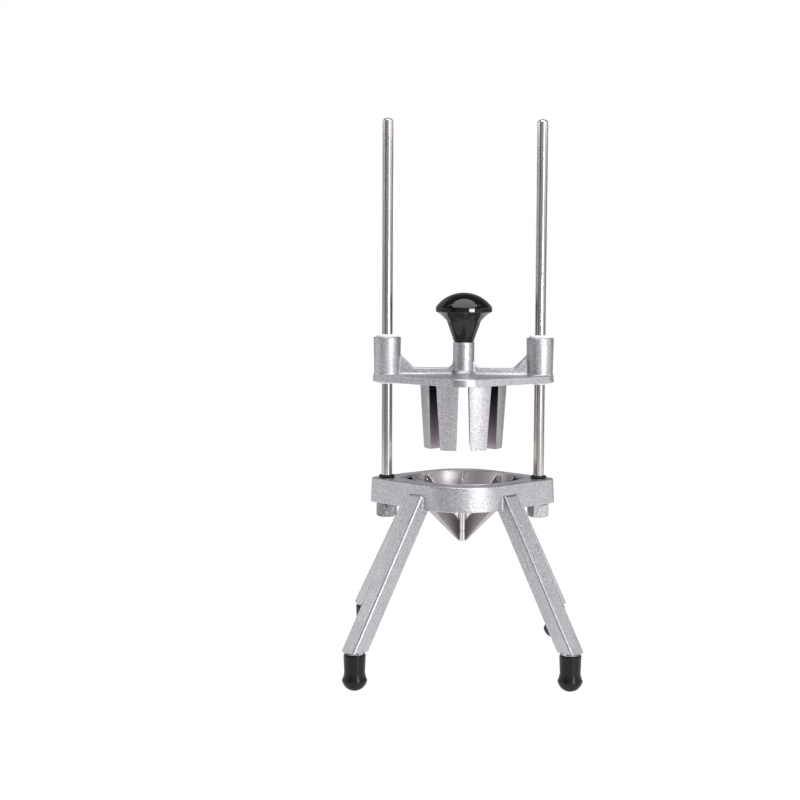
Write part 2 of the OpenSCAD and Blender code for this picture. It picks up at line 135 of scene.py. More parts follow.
class WEDGER_PG_cutter(bpy.types.PropertyGroup):
    """Sizes of the blade cup, blades, rivets, nuts and bumpers"""

    cup_wall: length("Cup wall", "Wall thickness of the cup", 1.2)
    cup_gap: length("Cup gap", "Gap that the dark line round the cup adds to the CAD's own", 0.2)
    rim_proud: length("Rim height", "Height of the rolled rim over the casting", 0.4)
    blade_t: length("Blade thickness", "Thickness of a blade", 1)
    blade_top_drop: length("Blade drop", "Depth of a blade below the rim at the wall", 2)
    blade_outer_h: length("Outer height", "Upright height of a blade at the wall", 14.4)
    blade_inner_h: length("Inner height", "Upright height of a blade at the core", 18)
    blade_fall: length("Blade fall", "Drop of the upper edge from wall to core", 36)
    edge_grind: length("Ground edge", "Width of the ground bevel of the cutting edge", 0.4)
    core_bore_r: length("Core bore", "Bore radius of the core tube", 3)
    core_groove: length("Core groove", "Height of the fine groove round the core tube", 8.8)
    tab_w: length("Tab width", "Width of a blade's riveted tab", 6)
    tab_h: length("Tab height", "Height of a blade's riveted tab", 8)
    rivet_r: length("Rivet head", "Radius of a rivet head", 1.6)
    rivet_clear: length("Rivet gap", "Gap between a rivet head and its blade", 0.3)
    rivet_h: length("Rivet height", "Height of a rivet head", 1)
    nut_flats: length("Nut flats", "Width of a rod nut across its flats", 17)
    nut_chamfer: length("Nut chamfer", "Chamfer of the nut's corners", 1.6)
    nut_turn_left: angle("Left nut turn", "Turn of the left hexagon", -8)
    nut_turn_right: angle("Right nut turn", "Turn of the right hexagon", 33.5)
    rod_hole_r: length("Rod hole", "Radius of the holes for the rod's shank", 4.25)
    shank_r: length("Shank radius", "Radius of the rod's threaded shank", 4.2)
    thread_pitch: length("Thread pitch", "Pitch of the rod's thread", 1.25)
    thread_depth: length("Thread depth", "Depth of the rod's thread", 0.45)
    rod_dome: length("Rod dome", "Height of the domed end of a rod", 2.2)
    bumper_r: length("Bumper section", "Section radius of a bumper ring", 1.2)


class WEDGER_PG_pusher(bpy.types.PropertyGroup):
    """Sizes of the pusher casting, bushings and knob"""

    plate_h: length("Plate thickness", "Thickness of the plate", 7)
    nose_r: length("Nose radius", "Radius of the front and back corners", 18)
    nose_y: length("Nose centre", "Distance of those corners from the middle", 43.3)
    sleeve_r: length("Sleeve radius", "Outside radius of a sleeve", 12.25)
    sleeve_draft: length("Sleeve draft", "Outward draft of a sleeve", 0.4)
    sleeve_h: length("Sleeve height", "Height of the sleeves over the underside", 39.7)
    bushing_r: length("Bushing radius", "Outside radius of a bushing barrel", 7)
    flange_top_h: length("Upper flange", "Thickness of the upper bushing flanges", 2.35)
    flange_bottom_h: length("Lower flange", "Thickness of the lower bushing flanges", 1.45)
    post_r: length("Post radius", "Radius of the centre post", 9.5)
    post_h: length("Post height", "Height of the post over the underside", 35.9)
    post_fillet: length("Post fillet", "Fillet at the foot of the post", 6)
    rib_h: length("Rib height", "Height of the rib over the underside", 12.5)
    rib_w: length("Rib width", "Width of the cross rib", 8)
    gusset: length("Gusset", "Size of the gussets at the sleeves", 11.2)
    rib_crest: length("Rib crest", "Rounding along the top of rib and gussets", 1.5)
    rib_foot: length("Rib foot", "Fillet between rib and plate", 2.2)
    rib_bend: length("Rib bend", "Bend radius where a gusset rises", 4)
    finger_len: length("Finger length", "Length of the fingers", 58.2)
    finger_top_r: length("Finger root", "Radius over the fingers at the plate", 39)
    finger_tip_r: length("Finger tip", "Radius over the fingers at the tips", 35.4)
    slot_top_w: length("Slot root", "Width of the slots at the plate", 9)
    slot_tip_w: length("Slot tip", "Width of the slots at the tips", 12.2)
    edge_round: length("Edge rounding", "Tumbled rounding of the edges", 1)
    blend: length("Blend", "Fillet where forms of the casting meet", 0.9)
    knob_r: length("Knob radius", "Radius of the knob", 25.25)
    knob_band_h: length("Knob band", "Height of the upright band", 4.4)
    knob_dome_h: length("Knob dome", "Height of the dome", 12.9)
    knob_under_h: length("Knob underside", "Height of the hollowed underside", 7.9)
    stem_top_r: length("Stem top", "Radius at the top of the stem", 15.4)
    stem_h: length("Stem height", "Height of the tapered stem", 15.9)
    stem_low_r: length("Stem foot", "Radius at the foot of the taper", 9.7)
    stem_foot_h: length("Stem foot height", "Height of the rounded foot", 2.6)
    stem_base_r: length("Stem base", "Radius of the flat on the post", 7.9)
    insert_r: length("Insert radius", "Radius of the hole for the insert", 6.05)
    insert_len: length("Insert depth", "Depth of the hole for the insert", 18.1)


class WEDGER_PG_finish(bpy.types.PropertyGroup):
    """Colours and roughness of the finishes"""

    casting: colour("Casting", "Tumbled aluminium", 0.738, 0.724, 0.760)
    casting_dark: colour("Casting pits", "Aluminium in its pits", 0.42, 0.41, 0.44)
    # Painted shade tones for the slot and pocket walls: the light one near the finger tips, the dark
    # one near the plate
    skin: colour("Cast skin", "Skin of the slot walls near the tips", 0.62, 0.56, 0.60)
    wall_shade_dark: colour("Dark skin", "Skin of the slot walls near the plate", 0.09, 0.08, 0.09)
    casting_rough: amount("Casting roughness", "Roughness of the tumbled aluminium", 0.38)
    blade: colour("Blade steel", "Brushed stainless steel", 0.63, 0.60, 0.62)
    cup: colour("Cup steel", "Brushed stainless steel of the cup", 0.74, 0.71, 0.73)
    tube: colour("Core steel", "Turned stainless steel", 0.93, 0.91, 0.92)
    rod: colour("Rod steel", "Polished stainless bar", 0.60, 0.575, 0.56)
    fastener: colour("Fasteners", "Bright plated steel", 0.66, 0.65, 0.67)
    fastener_dark: colour("Fastener clouds", "Dull clouds in the plating", 0.40, 0.39, 0.405)
    knob: colour("Knob", "Glossy black plastic", 0.005, 0.003, 0.004)
    nylon: colour("Nylon", "White bushings", 0.86, 0.86, 0.85)
    rubber: colour("Rubber", "Satin black feet", 0.006, 0.004, 0.006)
    bumper: colour("Bumper", "Black rubber rings", 0.010, 0.010, 0.010)
    brass: colour("Brass", "Threaded insert", 0.72, 0.52, 0.22)


class WEDGER_PG_stage(bpy.types.PropertyGroup):
    """Camera, lamps and floor"""

    camera_back: length("Camera distance", "Distance in front of the rods", 1373.1)
    camera_up: length("Camera height", "Height above the table", 369.7)
    camera_turn: angle("Camera turn", "Turn of the camera round the object", 0.713)
    camera_pitch: angle("Camera pitch", "Downward pitch", 5.433)
    camera_roll: angle("Camera roll", "Roll of the camera", 0.456)
    lens: amount("Lens", "Focal length in millimetres", 69.3)
    shift: amount("Shift", "Sideways shift that sets the object right of the middle", -0.0791)
    sky: amount("Sky", "Light that the surroundings give to matt surfaces", 0.5)
    key_power: amount("Key lamp", "Power of the front right softbox in watts", 1.7)
    strip_power: amount("Strip lamp", "Power of the narrow lamp in front of it in watts", 1.5)
    high_power: amount("High key lamp", "Power of the softbox above it in watts", 6)
    top_power: amount("Top lamp", "Power of the overhead softbox in watts", 16)
    left_power: amount("Left lamp", "Power of the left softbox in watts", 3.7)
    right_power: amount("Right lamp", "Power of the right softbox in watts", 3.4)


# ---------------------------------------------------------------- modelling helpers


def deselect():
    for piece in bpy.context.selected_objects:
        piece.select_set(False)


def focus(piece):
    deselect()
    piece.select_set(True)
    bpy.context.view_layer.objects.active = piece


def settle(piece):
    """Moves place, turn and scale into the mesh, so the object sits at the origin"""
    focus(piece)
    bpy.ops.object.transform_apply(location=True, rotation=True, scale=True)


def named(name):
    """The object that was just added, settled and under its name"""
    piece = bpy.context.object
    piece.name = name
    settle(piece)
    return piece


@contextmanager
def editing(piece, kind="VERT", first="SELECT"):
    """Edit mode on a piece, with everything selected at first, or nothing"""
    focus(piece)
    bpy.ops.object.mode_set(mode="EDIT")
    bpy.ops.mesh.select_mode(type=kind)
    bpy.ops.mesh.select_all(action=first)
    yield bmesh.from_edit_mesh(piece.data)
    bpy.ops.object.mode_set(mode="OBJECT")


def round_edges(piece, test, width, segments=3, clamp=True):
    """Bevels the edges of a piece that pass the test"""
    with editing(piece, "EDGE", "DESELECT") as shape:
        found = [edge for edge in shape.edges if test(edge)]
        for edge in found:
            edge.select_set(True)
        bmesh.update_edit_mesh(piece.data)
        if found:
            bpy.ops.mesh.bevel(offset=width, segments=segments, profile=0.5, clamp_overlap=clamp)


def level_edge(height):
    """A test for edges that lie at a height"""
    return lambda edge: all(abs(vertex.co.z - height) < LEVEL for vertex in edge.verts)


def rise(edge):
    return abs(edge.verts[0].co.z - edge.verts[1].co.z)


def is_crease(edge, least=CREASE):
    return edge.is_manifold and not edge.is_convex and edge.calc_face_angle(0) > least


def slice_off(point, normal):
    """In edit mode: cuts by a plane, closes the cut and drops what lies beyond it"""
    bpy.ops.mesh.select_all(action="SELECT")
    bpy.ops.mesh.bisect(plane_co=point, plane_no=normal, use_fill=True, clear_outer=True)


def face_outwards():
    """In edit mode: turns every face outwards"""
    bpy.ops.mesh.select_all(action="SELECT")
    bpy.ops.mesh.normals_make_consistent(inside=False)


def tidy_mesh(piece):
    """Merges doubles and flat neighbours and turns every face outwards"""
    with editing(piece):
        bpy.ops.mesh.remove_doubles(threshold=2 * TINY)
        bpy.ops.mesh.dissolve_limited(angle_limit=math.radians(0.4))
        bpy.ops.mesh.normals_make_consistent(inside=False)


def block(name, low, high):
    centre = [(a + b) / 2 for a, b in zip(low, high)]
    size = [b - a for a, b in zip(low, high)]
    bpy.ops.mesh.primitive_cube_add(size=1, location=centre, scale=size)
    return named(name)


def cone(name, x, z, height, r_low, r_high, sides, y=0):
    place = (x, y, z + height / 2)
    bpy.ops.mesh.primitive_cone_add(
        vertices=sides, radius1=r_low, radius2=r_high, depth=height, location=place
    )
    return named(name)


def join(pieces):
    deselect()
    for piece in pieces:
        piece.select_set(True)
    bpy.context.view_layer.objects.active = pieces[0]
    bpy.ops.object.join()
    return pieces[0]


def turned(piece, turn, name):
    """A copy of a piece with its own mesh, turned about the upright axis through the origin"""
    twin = piece.copy()
    twin.data = piece.data.copy()
    twin.name = name
    bpy.context.scene.collection.objects.link(twin)
    twin.rotation_euler = (0, 0, turn)
    settle(twin)
    return twin


def discard(piece):
    mesh = piece.data
    bpy.data.objects.remove(piece)
    bpy.data.meshes.remove(mesh)


def apply_modifier(piece, kind, **settings):
    focus(piece)
    bpy.ops.object.modifier_add(type=kind)
    modifier = piece.modifiers[-1]
    for key, value in settings.items():
        setattr(modifier, key, value)
    bpy.ops.object.modifier_apply(modifier=modifier.name)


def combine(piece, other, how):
    """Adds or cuts another closed piece with a boolean"""
    apply_modifier(piece, "BOOLEAN", operation=how, solver="EXACT", object=other)
    discard(other)


def drill(piece, x, z, height, radius, sides):
    """Cuts a round upright hole"""
    combine(piece, cone("drill", x, z, height, radius, radius, sides), "DIFFERENCE")


def hull(name, pieces):
    """One convex form round several pieces"""
    piece = join(pieces)
    piece.name = name
    with editing(piece):
        bpy.ops.mesh.convex_hull()
    tidy_mesh(piece)
    return piece


def tangent_blank(name, sizes, end_x, end_r, low, height, draft):
    """Plate with round noses on Y and round ends on X, with draft on its wall"""
    cones = []
    for side in SIDES.values():
        foot_r = sizes.nose_r + draft
        cones.append(cone(name, 0, low, height, foot_r, sizes.nose_r, 160, side * sizes.nose_y))
        cones.append(cone(name, side * end_x, low, height, end_r + draft, end_r, 56))
    return hull(name, cones)


def lathe(name, outline, sides=96, x=0, ring=False):
    """Turned piece: a circle extruded through (radius, height) points; a ring returns to its start"""
    radius, height = outline[0]
    fill = "NOTHING" if ring else "NGON"
    bpy.ops.mesh.primitive_circle_add(
        vertices=sides, radius=radius, fill_type=fill, location=(x, 0, height)
    )
    piece = named(name)
    points = list(outline) + ([outline[0]] if ring else [])
    with editing(piece, "EDGE" if ring else "FACE"):
        for (r_from, z_from), (r_to, z_to) in zip(points, points[1:]):
            bpy.ops.mesh.extrude_region_move(TRANSFORM_OT_translate={"value": (0, 0, z_to - z_from)})
            grow = r_to / r_from
            bpy.ops.transform.resize(value=(grow, grow, 1), center_override=(x, 0, z_to))
        bpy.ops.mesh.select_all(action="SELECT")
        bpy.ops.mesh.remove_doubles(threshold=TINY)
        bpy.ops.mesh.normals_make_consistent(inside=False)
    return piece


def slab(name, outline, low, high):
    """A flat piece: an outline of (x, z) points, extruded along Y"""
    bpy.ops.mesh.primitive_circle_add(vertices=len(outline), radius=MM, fill_type="NGON")
    piece = named(name)
    with editing(piece) as shape:
        for vertex, (x, z) in zip(shape.verts, outline):
            vertex.co = (x, low, z)
        bpy.ops.mesh.extrude_region_move(TRANSFORM_OT_translate={"value": (0, high - low, 0)})
        face_outwards()
    return piece


def arc(centre_r, centre_z, radius, start, end, steps):
    """Points of a round stretch of an outline; angles in degrees from the outward direction"""
    turns = [math.radians(start + (end - start) * i / steps) for i in range(steps + 1)]
    return [(centre_r + radius * math.cos(a), centre_z + radius * math.sin(a)) for a in turns]


def dome(top, radius, height, near_edge, near_top, steps):
    """Outline of a round cap from its edge almost to its top; the last two angles trim its ends"""
    ball = (radius**2 + height**2) / (2 * height)
    start = math.degrees(math.acos(radius / ball))
    return arc(0, top - ball, ball, start + near_edge, near_top, steps)


def dress(piece, look, limit, body, slot, *nodes):
    """Shades a finished piece and gives it its finish, body and the CAD nodes it stands for; the slot
    argument is not used
    """
    focus(piece)
    bpy.ops.object.shade_smooth_by_angle(angle=math.radians(limit))
    apply_modifier(piece, "WEIGHTED_NORMAL", keep_sharp=True)
    low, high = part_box(nodes[0])
    for axis in range(3):
        places = [vertex.co[axis] for vertex in piece.data.vertices]
        if max(abs(min(places) - low[axis]), abs(max(places) - high[axis])) > FIT:
            raise RuntimeError(f"{piece.name} doesn't fill the box of {nodes[0]}")
    piece.data.materials.clear()
    piece.data.materials.append(finish_named(look))
    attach(piece, body)
    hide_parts(*nodes)


def faces_where(piece, test):
    return [face.index for face in piece.data.polygons if test(face)]


def dress_faces(piece, look, faces):
    """Gives the numbered faces a finish of their own"""
    piece.data.materials.append(finish_named(look))
    for face in faces:
        piece.data.polygons[face].material_index = 1


def middle(node):
    low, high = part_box(node)
    return (low + high) / 2


def half_width(node):
    low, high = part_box(node)
    return (high.x - low.x) / 2


# ---------------------------------------------------------------- finishes


class Nodes:
    """Short way to write a node tree"""

    def __init__(self, tree):
        self.tree = tree

    def feed(self, node, inputs):
        """Links each input to the output it is given, or sets it to a constant"""
        for key, value in inputs.items():
            socket = node.inputs[key]
            if isinstance(value, bpy.types.NodeSocket):
                self.tree.links.new(value, socket)
            else:
                socket.default_value = (*value, 1) if socket.type == "RGBA" else value

    def add(self, kind, output, inputs, **settings):
        """Adds a node, feeds its inputs and returns one of its outputs"""
        node = self.tree.nodes.new("ShaderNode" + kind)
        for key, value in settings.items():
            setattr(node, key, value)
        self.feed(node, inputs)
        return node.outputs[output]

    def spread(self, value, low, high, from_low=0.3, from_high=0.7):
        """Maps a stretch of the value onto low to high"""
        reach = {"From Min": from_low, "From Max": from_high, "To Min": low, "To Max": high}
        return self.add("MapRange", "Result", {"Value": value, **reach})

    def ray(self, kind):
        """One for rays of a kind, else nothing"""
        return self.add("LightPath", f"Is {kind} Ray", {})

    def larger(self, first, second):
        return self.add("Math", "Value", {0: first, 1: second}, operation="MAXIMUM")

    def close(self, kind, surface):
        """Sends a surface to the tree's output"""
        self.feed(self.tree.nodes.new("ShaderNodeOutput" + kind), {"Surface": surface})


class Finish(Nodes):
    """A material whose constants are set on its Principled shader and whose layers are added to it"""

    def __init__(self, name, **settings):
        self.material = bpy.data.materials.new(name)
        self.material.use_nodes = True
        super().__init__(self.material.node_tree)
        self.shader = self.tree.nodes["Principled BSDF"]
        names = {key: key.replace("_", " ").title().replace("Ior", "IOR") for key in settings}
        self.feed(self.shader, {names[key]: value for key, value in settings.items()})

    def place(self):
        return self.add("TexCoord", "Object", {})

    def height(self):
        return self.add("SeparateXYZ", "Z", {"Vector": self.place()})

    def noise(self, scale, detail=3, stretch=(1, 1, 1), roughness=0.55):
        """Noise on object coordinates, stretched along an axis where the finish is brushed"""
        place = self.add("Mapping", "Vector", {"Vector": self.place(), "Scale": stretch})
        grain = {"Scale": scale, "Detail": detail, "Roughness": roughness}
        return self.add("TexNoise", "Fac", {"Vector": place, **grain})

    def cells(self, scale):
        """A random value for each small cell, for crisp specks"""
        tone = self.add("TexVoronoi", "Color", {"Vector": self.place(), "Scale": scale})
        return self.add("SeparateXYZ", "X", {"Vector": tone})

    def paint(self, share, first, second):
        """Sets the base colour between two tones, of which the first may be an output"""
        tones = {"Factor": share, "A": first, "B": second}
        self.tone = self.add("Mix", "Result", tones, data_type="RGBA")
        self.feed(self.shader, {"Base Color": self.tone})

    def shade(self, share, dark):
        """Lays a darker tone over the base colour where the share rises to one"""
        self.paint(share, self.tone, dark)

    def roughen(self, value, low, high):
        self.feed(self.shader, {"Roughness": self.spread(value, low, high)})

    def bump(self, *layers):
        """Stacks bump layers, each (height output, strength, depth in metres)"""
        below = {}
        for height, strength, depth in layers:
            layer = {"Height": height, "Strength": strength, "Distance": depth}
            below = {"Normal": self.add("Bump", "Normal", {**layer, **below})}
        self.feed(self.shader, below)


def darker(tone, share):
    return tuple(channel * share for channel in tone)


def cast_aluminium(look):
    """Tumbled casting: bright grain over dark pits and specks, a slow mottle, duller low down"""
    finish = Finish("tumbled_aluminium", metallic=1.0)
    grain = finish.noise(1100, 4, roughness=0.65)
    pits = finish.noise(520, 2)
    cloud = finish.noise(45)
    specks = finish.cells(1150)
    finish.paint(finish.spread(grain, 0, 1, 0.36, 0.58), look.casting_dark, look.casting)
    finish.shade(finish.spread(specks, 0.55, 0, 0, 0.8), darker(look.casting_dark, 0.7))
    # darker towards the bottom of the casting
    lower_darkening = finish.spread(finish.height(), 0.6, 0, 35 * MM, 150 * MM)
    finish.shade(lower_darkening, darker(look.casting, 0.72))
    finish.roughen(cloud, look.casting_rough - 0.06, look.casting_rough + 0.08)
    fine = (grain, 0.38, 0.00026), (specks, 0.24, 0.00012)
    finish.bump((cloud, 0.3, 0.0007), (pits, 0.28, 0.00035), *fine)
    return finish


def painted_wall_shade(name, look, top, depth):
    """Painted shade on facing walls, dark at the top height and light at the depth under it"""
    finish = Finish(name, metallic=1.0)
    grain = finish.noise(1300)
    # painted shade: the walls darken towards the top height, where they lie in shade
    height = finish.spread(finish.height(), 0, 1, top + 2 * MM, top - depth)
    finish.paint(height, look.wall_shade_dark, look.skin)
    finish.roughen(grain, 0.42, 0.56)
    finish.bump((grain, 0.5, 0.00018))
    return finish


def brushed_steel(name, tone, scale, stretch, rough=0.3, depth=0.00003, **settings):
    """Metal with fine lines along the axis whose stretch is small, and cloudy roughness"""
    finish = Finish(name, metallic=1.0, **settings)
    lines = finish.noise(scale, 4, stretch)
    finish.paint(finish.spread(lines, 0, 1), darker(tone, 0.86), tone)
    finish.roughen(finish.noise(60, 2), rough - 0.05, rough + 0.06)
    finish.bump((lines, 0.5, depth))
    return finish


def blade_steel(look):
    """Blade steel with painted shade that darkens it towards the core"""
    finish = brushed_steel("brushed_blade", look.blade, 700, UPRIGHT)
    flat = finish.add("VectorMath", 0, {0: finish.place(), 1: (1, 1, 0)}, operation="MULTIPLY")
    reach = finish.add("VectorMath", "Value", {0: flat}, operation="LENGTH")
    # painted shade: darker within a short reach of the core
    finish.shade(finish.spread(reach, 0.85, 0, 4 * MM, 17 * MM), darker(look.blade, 0.62))
    return finish


def tube_steel(look):
    """Turned tube with a bright middle and sides darkened by a painted reflection of the blades
    beside it
    """
    finish = brushed_steel("turned_tube", look.tube, 900, ROUND, 0.17)
    facing = finish.add("LayerWeight", "Facing", {"Blend": 0.5})
    # painted reflection: the sides darken where the tube turns away from the camera
    finish.shade(finish.spread(facing, 0, 1, 0.1, 0.34), darker(look.tube, 0.26))
    return finish


def plated_steel(name, bright, dull):
    """Bright plating with dull clouds that run up and down"""
    finish = Finish(name, metallic=1.0)
    grain = finish.noise(1500, 2)
    finish.paint(finish.spread(finish.noise(620, 4, (1, 1, 0.3)), 0, 1, 0.4, 0.64), dull, bright)
    finish.roughen(grain, 0.12, 0.22)
    finish.bump((grain, 0.2, 0.00001))
    return finish


def clouded(name, tone, share, cloud, rough, relief, depth, **settings):
    """A finish whose clouds drive tone and roughness, over the fine relief of a second noise"""
    finish = Finish(name, **settings)
    clouds = finish.noise(*cloud)
    finish.paint(finish.spread(clouds, 0, 1), darker(tone, share), tone)
    finish.roughen(clouds, *rough)
    finish.bump((finish.noise(*relief), *depth))
    return finish


def rubber(name, tone, rough, **settings):
    span = (rough - 0.04, rough + 0.05)
    relief = (1400,), (0.3, 0.00003)
    return clouded(name, tone, 0.75, (110,), span, *relief, ior=1.37, **settings)


def polished_rod(look):
    handling = (70, 3, (1, 1, 0.35)), (0.12, 0.19)
    rings = (500, 3, (1, 1, 6)), (0.25, 0.000012)
    return clouded("polished_bar", look.rod, 0.93, *handling, *rings, metallic=1.0)


def gloss_black(look):
    scuffs = (420, 4), (0.045, 0.08)
    sink = (40, 1), (0.05, 0.0004)
    return clouded("moulded_black", look.knob, 0.8, *scuffs, *sink, ior=1.45)


def white_nylon(look):
    rings = (900, 2, (0.1, 0.1, 1))
    layers = rings, (0.38, 0.48), rings, (0.2, 0.00002)
    inside = {"ior": 1.53, "subsurface_weight": 0.15, "subsurface_scale": 0.002}
    return clouded("turned_nylon", look.nylon, 0.97, *layers, **inside)


finishes = {}


def finish_named(name):
    """Makes each finish once"""
    look = bpy.context.scene.wedger_finish
    across = {"anisotropic_rotation": 0.25}  # stands the highlights upright
    makers = {
        "casting": lambda: cast_aluminium(look),
        # the slot and pocket walls get painted shade that darkens towards the top height
        "slot": lambda: painted_wall_shade("slot_skin", look, middle("pusher_head").z, 46 * MM),
        "pocket": lambda: painted_wall_shade("pocket_skin", look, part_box("base_frame")[1].z, 1),
        "blade": lambda: blade_steel(look),
        "ground": lambda: brushed_steel("ground_edge", look.tube, 700, UPRIGHT, 0.2),
        "cup": lambda: brushed_steel(
            "brushed_cup", look.cup, 900, ROUND, 0.46, 0.0002, anisotropic=0.75, **across
        ),
        "tube": lambda: tube_steel(look),
        "fastener": lambda: plated_steel("plated_steel", look.fastener, look.fastener_dark),
        # a darker copy of the plating: painted shade for the left nut
        "shaded_fastener": lambda: plated_steel(
            "worn_steel", darker(look.fastener, 0.55), darker(look.fastener_dark, 0.4)
        ),
        "rod": lambda: polished_rod(look),
        "knob": lambda: gloss_black(look),
        "rubber": lambda: rubber("foot_rubber", look.rubber, 0.29, anisotropic=0.9, **across),
        "bumper": lambda: rubber("bumper_rubber", look.bumper, 0.5),
        "nylon": lambda: white_nylon(look),
        "brass": lambda: brushed_steel("turned_brass", look.brass, 600, (0.1, 0.1, 1)),
    }
    if name not in finishes:
        finishes[name] = makers[name]().material
    return finishes[name]


# ---------------------------------------------------------------- base casting


def foot_turns(sizes):
    turn = sizes.leg_turn
    rear = {"rear_right": turn, "rear_left": math.pi - turn}
    return {**rear, "front_left": math.pi + turn, "front_right": -turn}


def straight_leg(sizes, head_z):
    """One leg on the X side: a bar with round long edges, leaned inward and cut level at both ends"""
    reach = (head_z - sizes.leg_end_z) / math.cos(sizes.leg_lean) + 2 * sizes.leg_d
    half_d = sizes.leg_d / 2
    half_w = sizes.leg_w / 2
    leg = block("leg", (-half_d, -half_w, -sizes.leg_d), (half_d, half_w, reach - sizes.leg_d))
    round_edges(leg, lambda edge: rise(edge) > reach / 2, sizes.leg_round, 4)
    leg.rotation_euler = (0, -sizes.leg_lean, 0)
    leg.location = (sizes.foot_reach, 0, sizes.leg_end_z)
    settle(leg)
    with editing(leg):
        slice_off((0, 0, sizes.leg_end_z), (0, 0, -1))
        slice_off((0, 0, head_z), (0, 0, 1))
    round_edges(leg, level_edge(sizes.leg_end_z), sizes.leg_end_round * 0.6, 2)
    round_edges(leg, level_edge(head_z), sizes.leg_end_round, 3)
    return leg


def spigot(sizes, foot_top):
    """Collar under the leg and the spigot that holds the rubber foot"""
    r_in = sizes.spigot_r
    r_out = sizes.collar_r
    low = sizes.foot_bore_z + SEAT
    high = foot_top + 2 * SEAT
    nip = 0.6 * MM
    outline = [
        (r_in - nip, low), (r_in, low + nip), (r_in, high),
        (r_out - nip, high), (r_out, foot_top + nip), (r_out, sizes.leg_end_z + nip),
        (r_in, sizes.leg_end_z + 2 * nip), (r_in, sizes.leg_end_z + 4 * MM),
    ]
    return lathe("spigot", outline, 64, sizes.foot_reach)


def pointed_cutter(sizes, reach, low, height):
    """The round opening with a pointed end on each side"""
    radius = sizes.opening_r
    tip = sizes.pocket_tip
    parts = [cone("opening", 0, low, height, radius, radius, 192)]
    for side in SIDES.values():
        parts.append(cone("tip", side * (reach - tip), low, height, tip, tip, 12))
    return hull("pocket", parts)


class WEDGER_OT_base_casting(bpy.types.Operator):
    """Models the ring and its four legs as one tumbled casting"""

    bl_idname = "wedger.base_casting"
    bl_label = "Base Casting"

    def execute(self, context):
        sizes = context.scene.wedger_casting
        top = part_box("base_frame")[1].z
        low = top - sizes.ring_h
        head_z = top - sizes.leg_head_drop
        foot_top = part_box("foot_front_left")[1].z
        shape = sizes.end_x, sizes.end_r, low, sizes.ring_h, sizes.draft
        ring = tangent_blank("base_casting", sizes, *shape)
        round_edges(ring, level_edge(top), sizes.rim_round, 4)
        round_edges(ring, level_edge(low), sizes.rim_round * 0.6, 3)
        leg = straight_leg(sizes, head_z)
        combine(leg, spigot(sizes, foot_top), "UNION")
        for place, turn in foot_turns(sizes).items():
            combine(ring, turned(leg, turn, "leg_" + place), "UNION")
        discard(leg)
        tidy_mesh(ring)
        above = top + sizes.ring_h
        recess_z = top - sizes.recess_depth
        for floor_z, reach in ((low + sizes.ledge_h, sizes.pocket_x), (recess_z, sizes.recess_x)):
            combine(ring, pointed_cutter(sizes, reach, floor_z, above - floor_z), "DIFFERENCE")
        drill(ring, 0, low - sizes.ring_h, 2 * sizes.ring_h, sizes.ledge_r, 192)
        for name in SIDES:
            hole_r = context.scene.wedger_cutter.rod_hole_r
            drill(ring, middle("rod_nut_" + name).x, low - sizes.ring_h, 3 * sizes.ring_h, hole_r, 48)

        def is_mouth(edge):
            if edge.calc_face_angle(0) <= CREASE or not level_edge(top)(edge):
                return False
            places = [vertex.co.xy for vertex in edge.verts]
            reach = sizes.recess_x + TINY
            return all(place.length < reach and abs(place.y) < sizes.opening_r for place in places)

        def is_leg_root(edge):
            places = [vertex.co for vertex in edge.verts]
            outside = all(place.xy.length > sizes.pocket_x + MM for place in places)
            return outside and all(place.z < head_z + MM for place in places) and is_crease(edge)

        round_edges(ring, is_mouth, sizes.bore_round, 2)
        round_edges(ring, is_leg_root, sizes.blend, 3, False)
        dress(ring, "casting", 30, "base", "cast_aluminium", "base_frame")

        def is_pocket_wall(face):
            x, y, z = face.center
            inside = math.hypot(x, y) < sizes.pocket_x and abs(y) < sizes.opening_r
            return inside and low < z < recess_z - TINY

        # painted shade on the pocket walls
        dress_faces(ring, "pocket", faces_where(ring, is_pocket_wall))
        return {"FINISHED"}


class WEDGER_OT_rubber_feet(bpy.types.Operator):
    """Turns the four rubber feet with bulge, waist, domed sole and bore"""

    bl_idname = "wedger.rubber_feet"
    bl_label = "Rubber Feet"

    def execute(self, context):
        sizes = context.scene.wedger_casting
        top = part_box("foot_front_left")[1].z
        flat_r = sizes.foot_flat_r
        bulge_r = sizes.foot_bulge_r
        bulge_z = sizes.foot_bulge_z
        ball_z = (bulge_r**2 + bulge_z**2 - flat_r**2) / (2 * bulge_z)
        ball_r = math.hypot(flat_r, ball_z)
        start = -math.degrees(math.atan2(ball_z, flat_r))
        end = -math.degrees(math.atan2(ball_z - bulge_z, bulge_r))
        sole = arc(0, ball_z, ball_r, start, end, 14)
        # The edge of the bulge is eased over a few tenths of a millimetre
        sole[-1] = (bulge_r - 0.25 * MM, bulge_z - 0.35 * MM)
        lip = [(bulge_r, bulge_z + 0.1 * MM), (bulge_r - 0.08 * MM, bulge_z + 0.6 * MM)]
        flare = []
        waist_r = sizes.foot_waist_r
        for i in range(2, 11):
            share = i / 10
            swell = (bulge_r - waist_r) * (1 - math.sin(math.pi / 2 * share))
            flare.append((waist_r + swell, bulge_z + (sizes.foot_waist_z - bulge_z) * share))
        neck = [(sizes.foot_top_r, top - 2.2 * MM)]
        nip = 0.6 * MM
        mouth = arc(sizes.foot_top_r - nip, top - nip, nip, 0, 90, 4)
        bore_r = sizes.spigot_r + SEAT
        inside = [(bore_r + 10 * SEAT, top), (bore_r, top - 10 * SEAT), (bore_r, sizes.foot_bore_z)]
        foot = lathe("foot", sole + lip + flare + neck + mouth + inside, 80, sizes.foot_reach)
        for place, turn in foot_turns(sizes).items():
            twin = turned(foot, turn, "rubber_foot_" + place)
            dress(twin, "rubber", 40, "base", "foot_rubber", "foot_" + place)
        discard(foot)
        return {"FINISHED"}


# ---------------------------------------------------------------- blade cup


